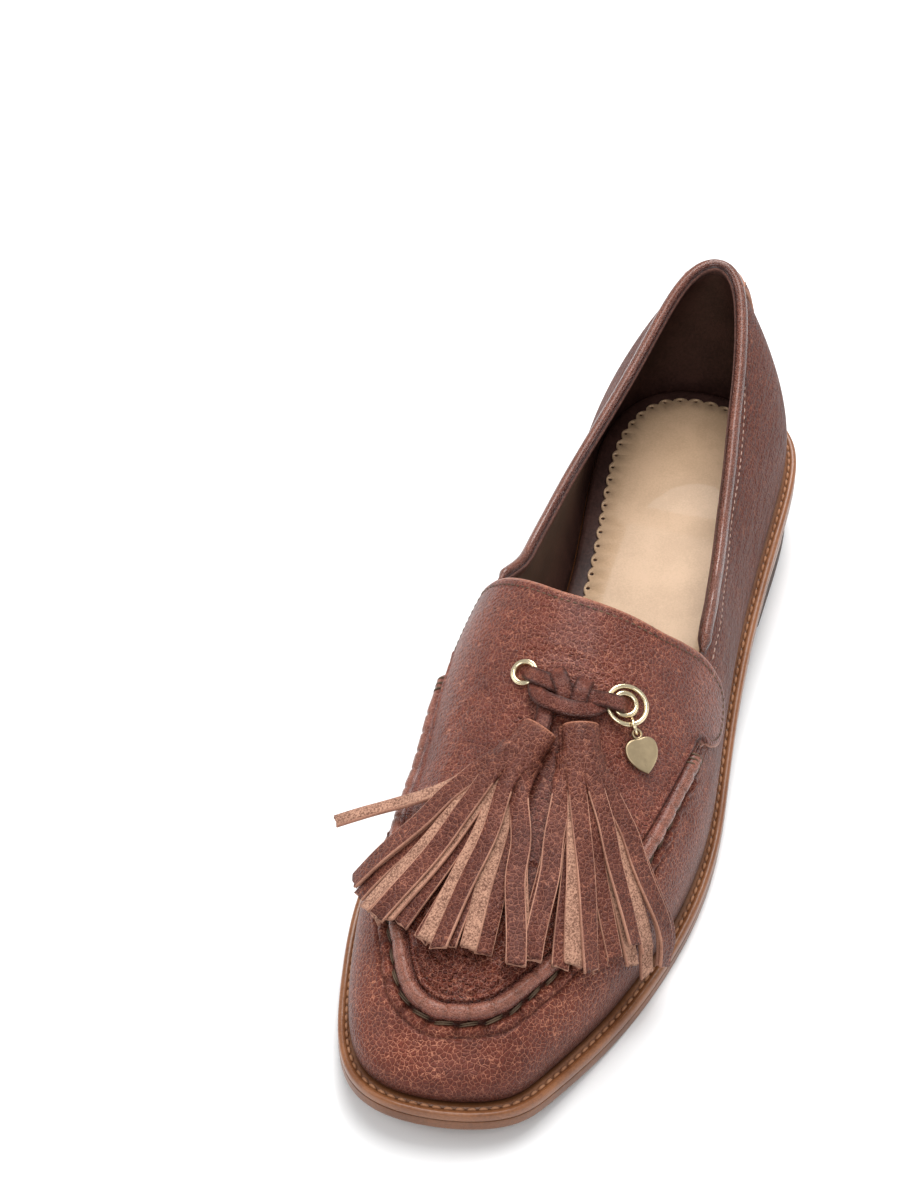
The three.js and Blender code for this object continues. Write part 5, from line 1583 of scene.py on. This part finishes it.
# A strip's way from the head's foot over the vamp: it fans out and settles as it goes
def fanPoints(start, along, angle, side, rise, level, length):
    g = np.array([0, 0.06, 0.14, 0.28, 0.42, 0.56, 0.7, 0.85, 1])
    turn = smooth(0, 0.4, g)
    fade = 1 - smooth(0, 0.7, g)

    def spread(reach):
        x = start[0] + side[0] * fade + g * reach * mix(along[0], math.cos(angle), turn)
        y = start[1] + side[1] * fade + g * reach * mix(along[1], math.sin(angle), turn)
        return overFace(x, y, mix(tasselLook["lift"], fringeLift + level, smooth(0, 0.7, g)) + rise * fade)

    points, _ = spread(length * 0.9)
    return spread(length * 0.9 * length / lengthsAlong(points)[-1])


def makeTassel(side):
    row, look = tasselRows[side], tasselLook
    seeded = np.random.default_rng(row["seed"])
    top, out = overFace(*row["top"], look["lift"])
    foot, _ = overFace(*row["foot"], look["lift"])
    along = unit(foot - top)
    across = unit(np.cross(along, out))
    up = unit(np.cross(across, along))
    shape = Shape()
    # the head is a spiral of leather with its free edge beside the top
    turns, radius = look["turns"], look["headRadius"]
    spin = np.linspace(0, 1, 110)
    angle = -0.35 - 2 * math.pi * turns * (1 - spin)
    heights = np.array([0, 0.03, 0.15, 0.4, 0.65, 0.85, 1.0])
    inward = (look["leather"] + 0.12) * (1 - spin) * turns + look["leather"] / 2
    barrel = radius * np.interp(heights, [0, 0.15, 0.85, 1], [0.96, 1, 1, 0.97])
    arm = np.maximum(barrel[None] - inward[:, None], 0.35)
    axis = (top + along * (heights * look["headLength"])[:, None])[None] + np.zeros((len(spin), 1, 1))
    grid = axis + across * (arm * np.cos(angle)[:, None])[..., None]
    grid = grid + up * (arm * look["headFlat"] * np.sin(angle)[:, None])[..., None]
    normals = gridNormals(grid, grid - axis)
    light, half = np.array([1, 0.2, 0, 0, 0, 0, 0]), look["leather"] / 2
    addShell(shape, grid, normals, half, -half, False, ("tassel", "tassel", "flesh"), {"light": light})
    start = np.array(row["foot"])
    for layer, count in zip(tasselLayers, row["counts"]):
        inset = look["stripThick"] / 2 - (0.06 if layer["reach"] == 1 else 0)
        reach = radius * layer["reach"] - inset
        for k in range(count):
            f = (k + 0.5) / count
            around = mix(0.1, math.pi - 0.1, f)
            beside, above = across * math.cos(around) * reach, math.sin(around) * reach * look["headFlat"]
            spoke = beside + up * above
            facing = unit(across * math.cos(around) * look["headFlat"] + up * math.sin(around))
            turned = mix(row["from"], row["to"], mix(k / (count - 1), f, 0.5)) + seeded.uniform(-0.03, 0.03)
            long = look["stripLong"] * seeded.uniform(0.96, 1.01)
            level = layer["level"] + 0.35 * (k % 2)
            points, outs = fanPoints(start, along, turned, beside, above, level, long)
            begin = np.array([top + along * g * look["headLength"] + spoke for g in (0.76, 0.88, 0.98)])
            points = np.vstack([begin, points[2:]])
            outs = np.vstack([np.tile(facing, (3, 1)), outs[2:]])
            line, outs = evened(points, outs, 54)
            g = np.linspace(0, 1, 54)
            way = unit(np.gradient(line, axis=0))
            sideways = unit(np.cross(outs, way))
            wave = seeded.uniform(-0.8, 0.8) * np.sin(math.pi * g * seeded.uniform(1.0, 1.9)) * g
            arch = seeded.uniform(0, 0.7) * np.sin(math.pi * g) ** 2
            line = line + sideways * wave[:, None] + outs * arch[:, None]
            flip = math.pi if seeded.uniform() < layer["flesh"] * row["flesh"] else 0
            twist = flip + seeded.uniform(-0.3, 0.3) * smooth(0.25, 1, g)
            held = 1 - smooth(0.12, 0.4, g)
            cup = mix(seeded.uniform(-0.1, 0.25), -0.5 * layer["reach"], held) * (-1 if flip else 1)
            width = look["stripWidth"] * layer["wide"] * seeded.uniform(0.9, 1.1)
            ends = seeded.uniform(-1.6, 1.6)
            rag = seeded.uniform(-0.3, 0.3, 15)
            plainTo = 11 if layer["reach"] == 1 else 0
            addStrap(shape, line, outs, width, look["stripThick"], cup, twist=twist, ends=ends, rag=rag,
                     plainTo=plainTo)
    if "strayOver" in row:
        over = np.array(row["strayOver"], float)
        points, outs = overFace(over[:, 0], over[:, 1], fringeLift + 1.3)
        past = np.array(row["strayPast"], float)
        points = np.vstack([foot, points, past])
        outs = np.vstack([out, outs, np.tile(outs[-1], (len(past), 1))])
        line, outs = evened(points, outs, 60)
        twist = math.pi * smooth(0.1, 0.3, np.linspace(0, 1, 60))
        rag = seeded.uniform(-0.3, 0.3, 15)
        addStrap(shape, line, outs, look["strayWidth"], look["stripThick"], 0.2, twist=twist, ends=1.2, rag=rag)
    return shape.made("tassel_strips_" + side, replaces=["tassel_" + side], slot="tassel_leather")


makeTassel("medial")
makeTassel("lateral")


# Floor and light
def makeStudio():
    g = Graph("floor")
    tone = g.noise(g.place(), 0.4, 2)
    pale = g.blend(tone, (0.86, 0.86, 0.86), (0.9, 0.9, 0.9))
    g.finish(Base_Color=pale, Roughness=0.9)
    mesh = bpy.data.meshes.new("floor")
    mesh.from_pydata([(-4, -4, 0), (4, -4, 0), (4, 4, 0), (-4, 4, 0)], [], [(0, 1, 2, 3)])
    mesh.materials.append(g.material)
    floor = bpy.data.objects.new("floor", mesh)
    bpy.context.scene.collection.objects.link(floor)
    world = bpy.data.worlds.new("studio")
    world.use_nodes = True
    back = world.node_tree.nodes["Background"]
    back.inputs["Color"].default_value = (0.97, 0.985, 1, 1)
    back.inputs["Strength"].default_value = 0.5
    bpy.context.scene.world = world
    bpy.context.scene.view_settings.view_transform = "Standard"
    lamps = {
        "over": ((0, 0.3, 1.5), (0, 0, 0), 0.9, 17), "behind": ((-0.15, 1.1, 1.25), (0, 0, 0), 0.6, 13),
        "front": ((0.2, -1.2, 1.3), (0, 0, 0), 0.9, 8),
        "left": ((-1.3, -0.5, 0.9), (0, 0, 0.03), 0.8, 5),
        "right": ((1.4, 0.2, 0.7), (0, 0, 0.03), 0.7, 2.5),
    }
    for name, (place, aim, size, power) in lamps.items():
        data = bpy.data.lights.new(name, "AREA")
        data.shape, data.size, data.energy = "SQUARE", size, power
        lamp = bpy.data.objects.new(name, data)
        bpy.context.scene.collection.objects.link(lamp)
        lamp.location = place
        lamp.rotation_euler = (Vector(aim) - Vector(place)).to_track_quat("-Z", "Y").to_euler()


makeStudio()
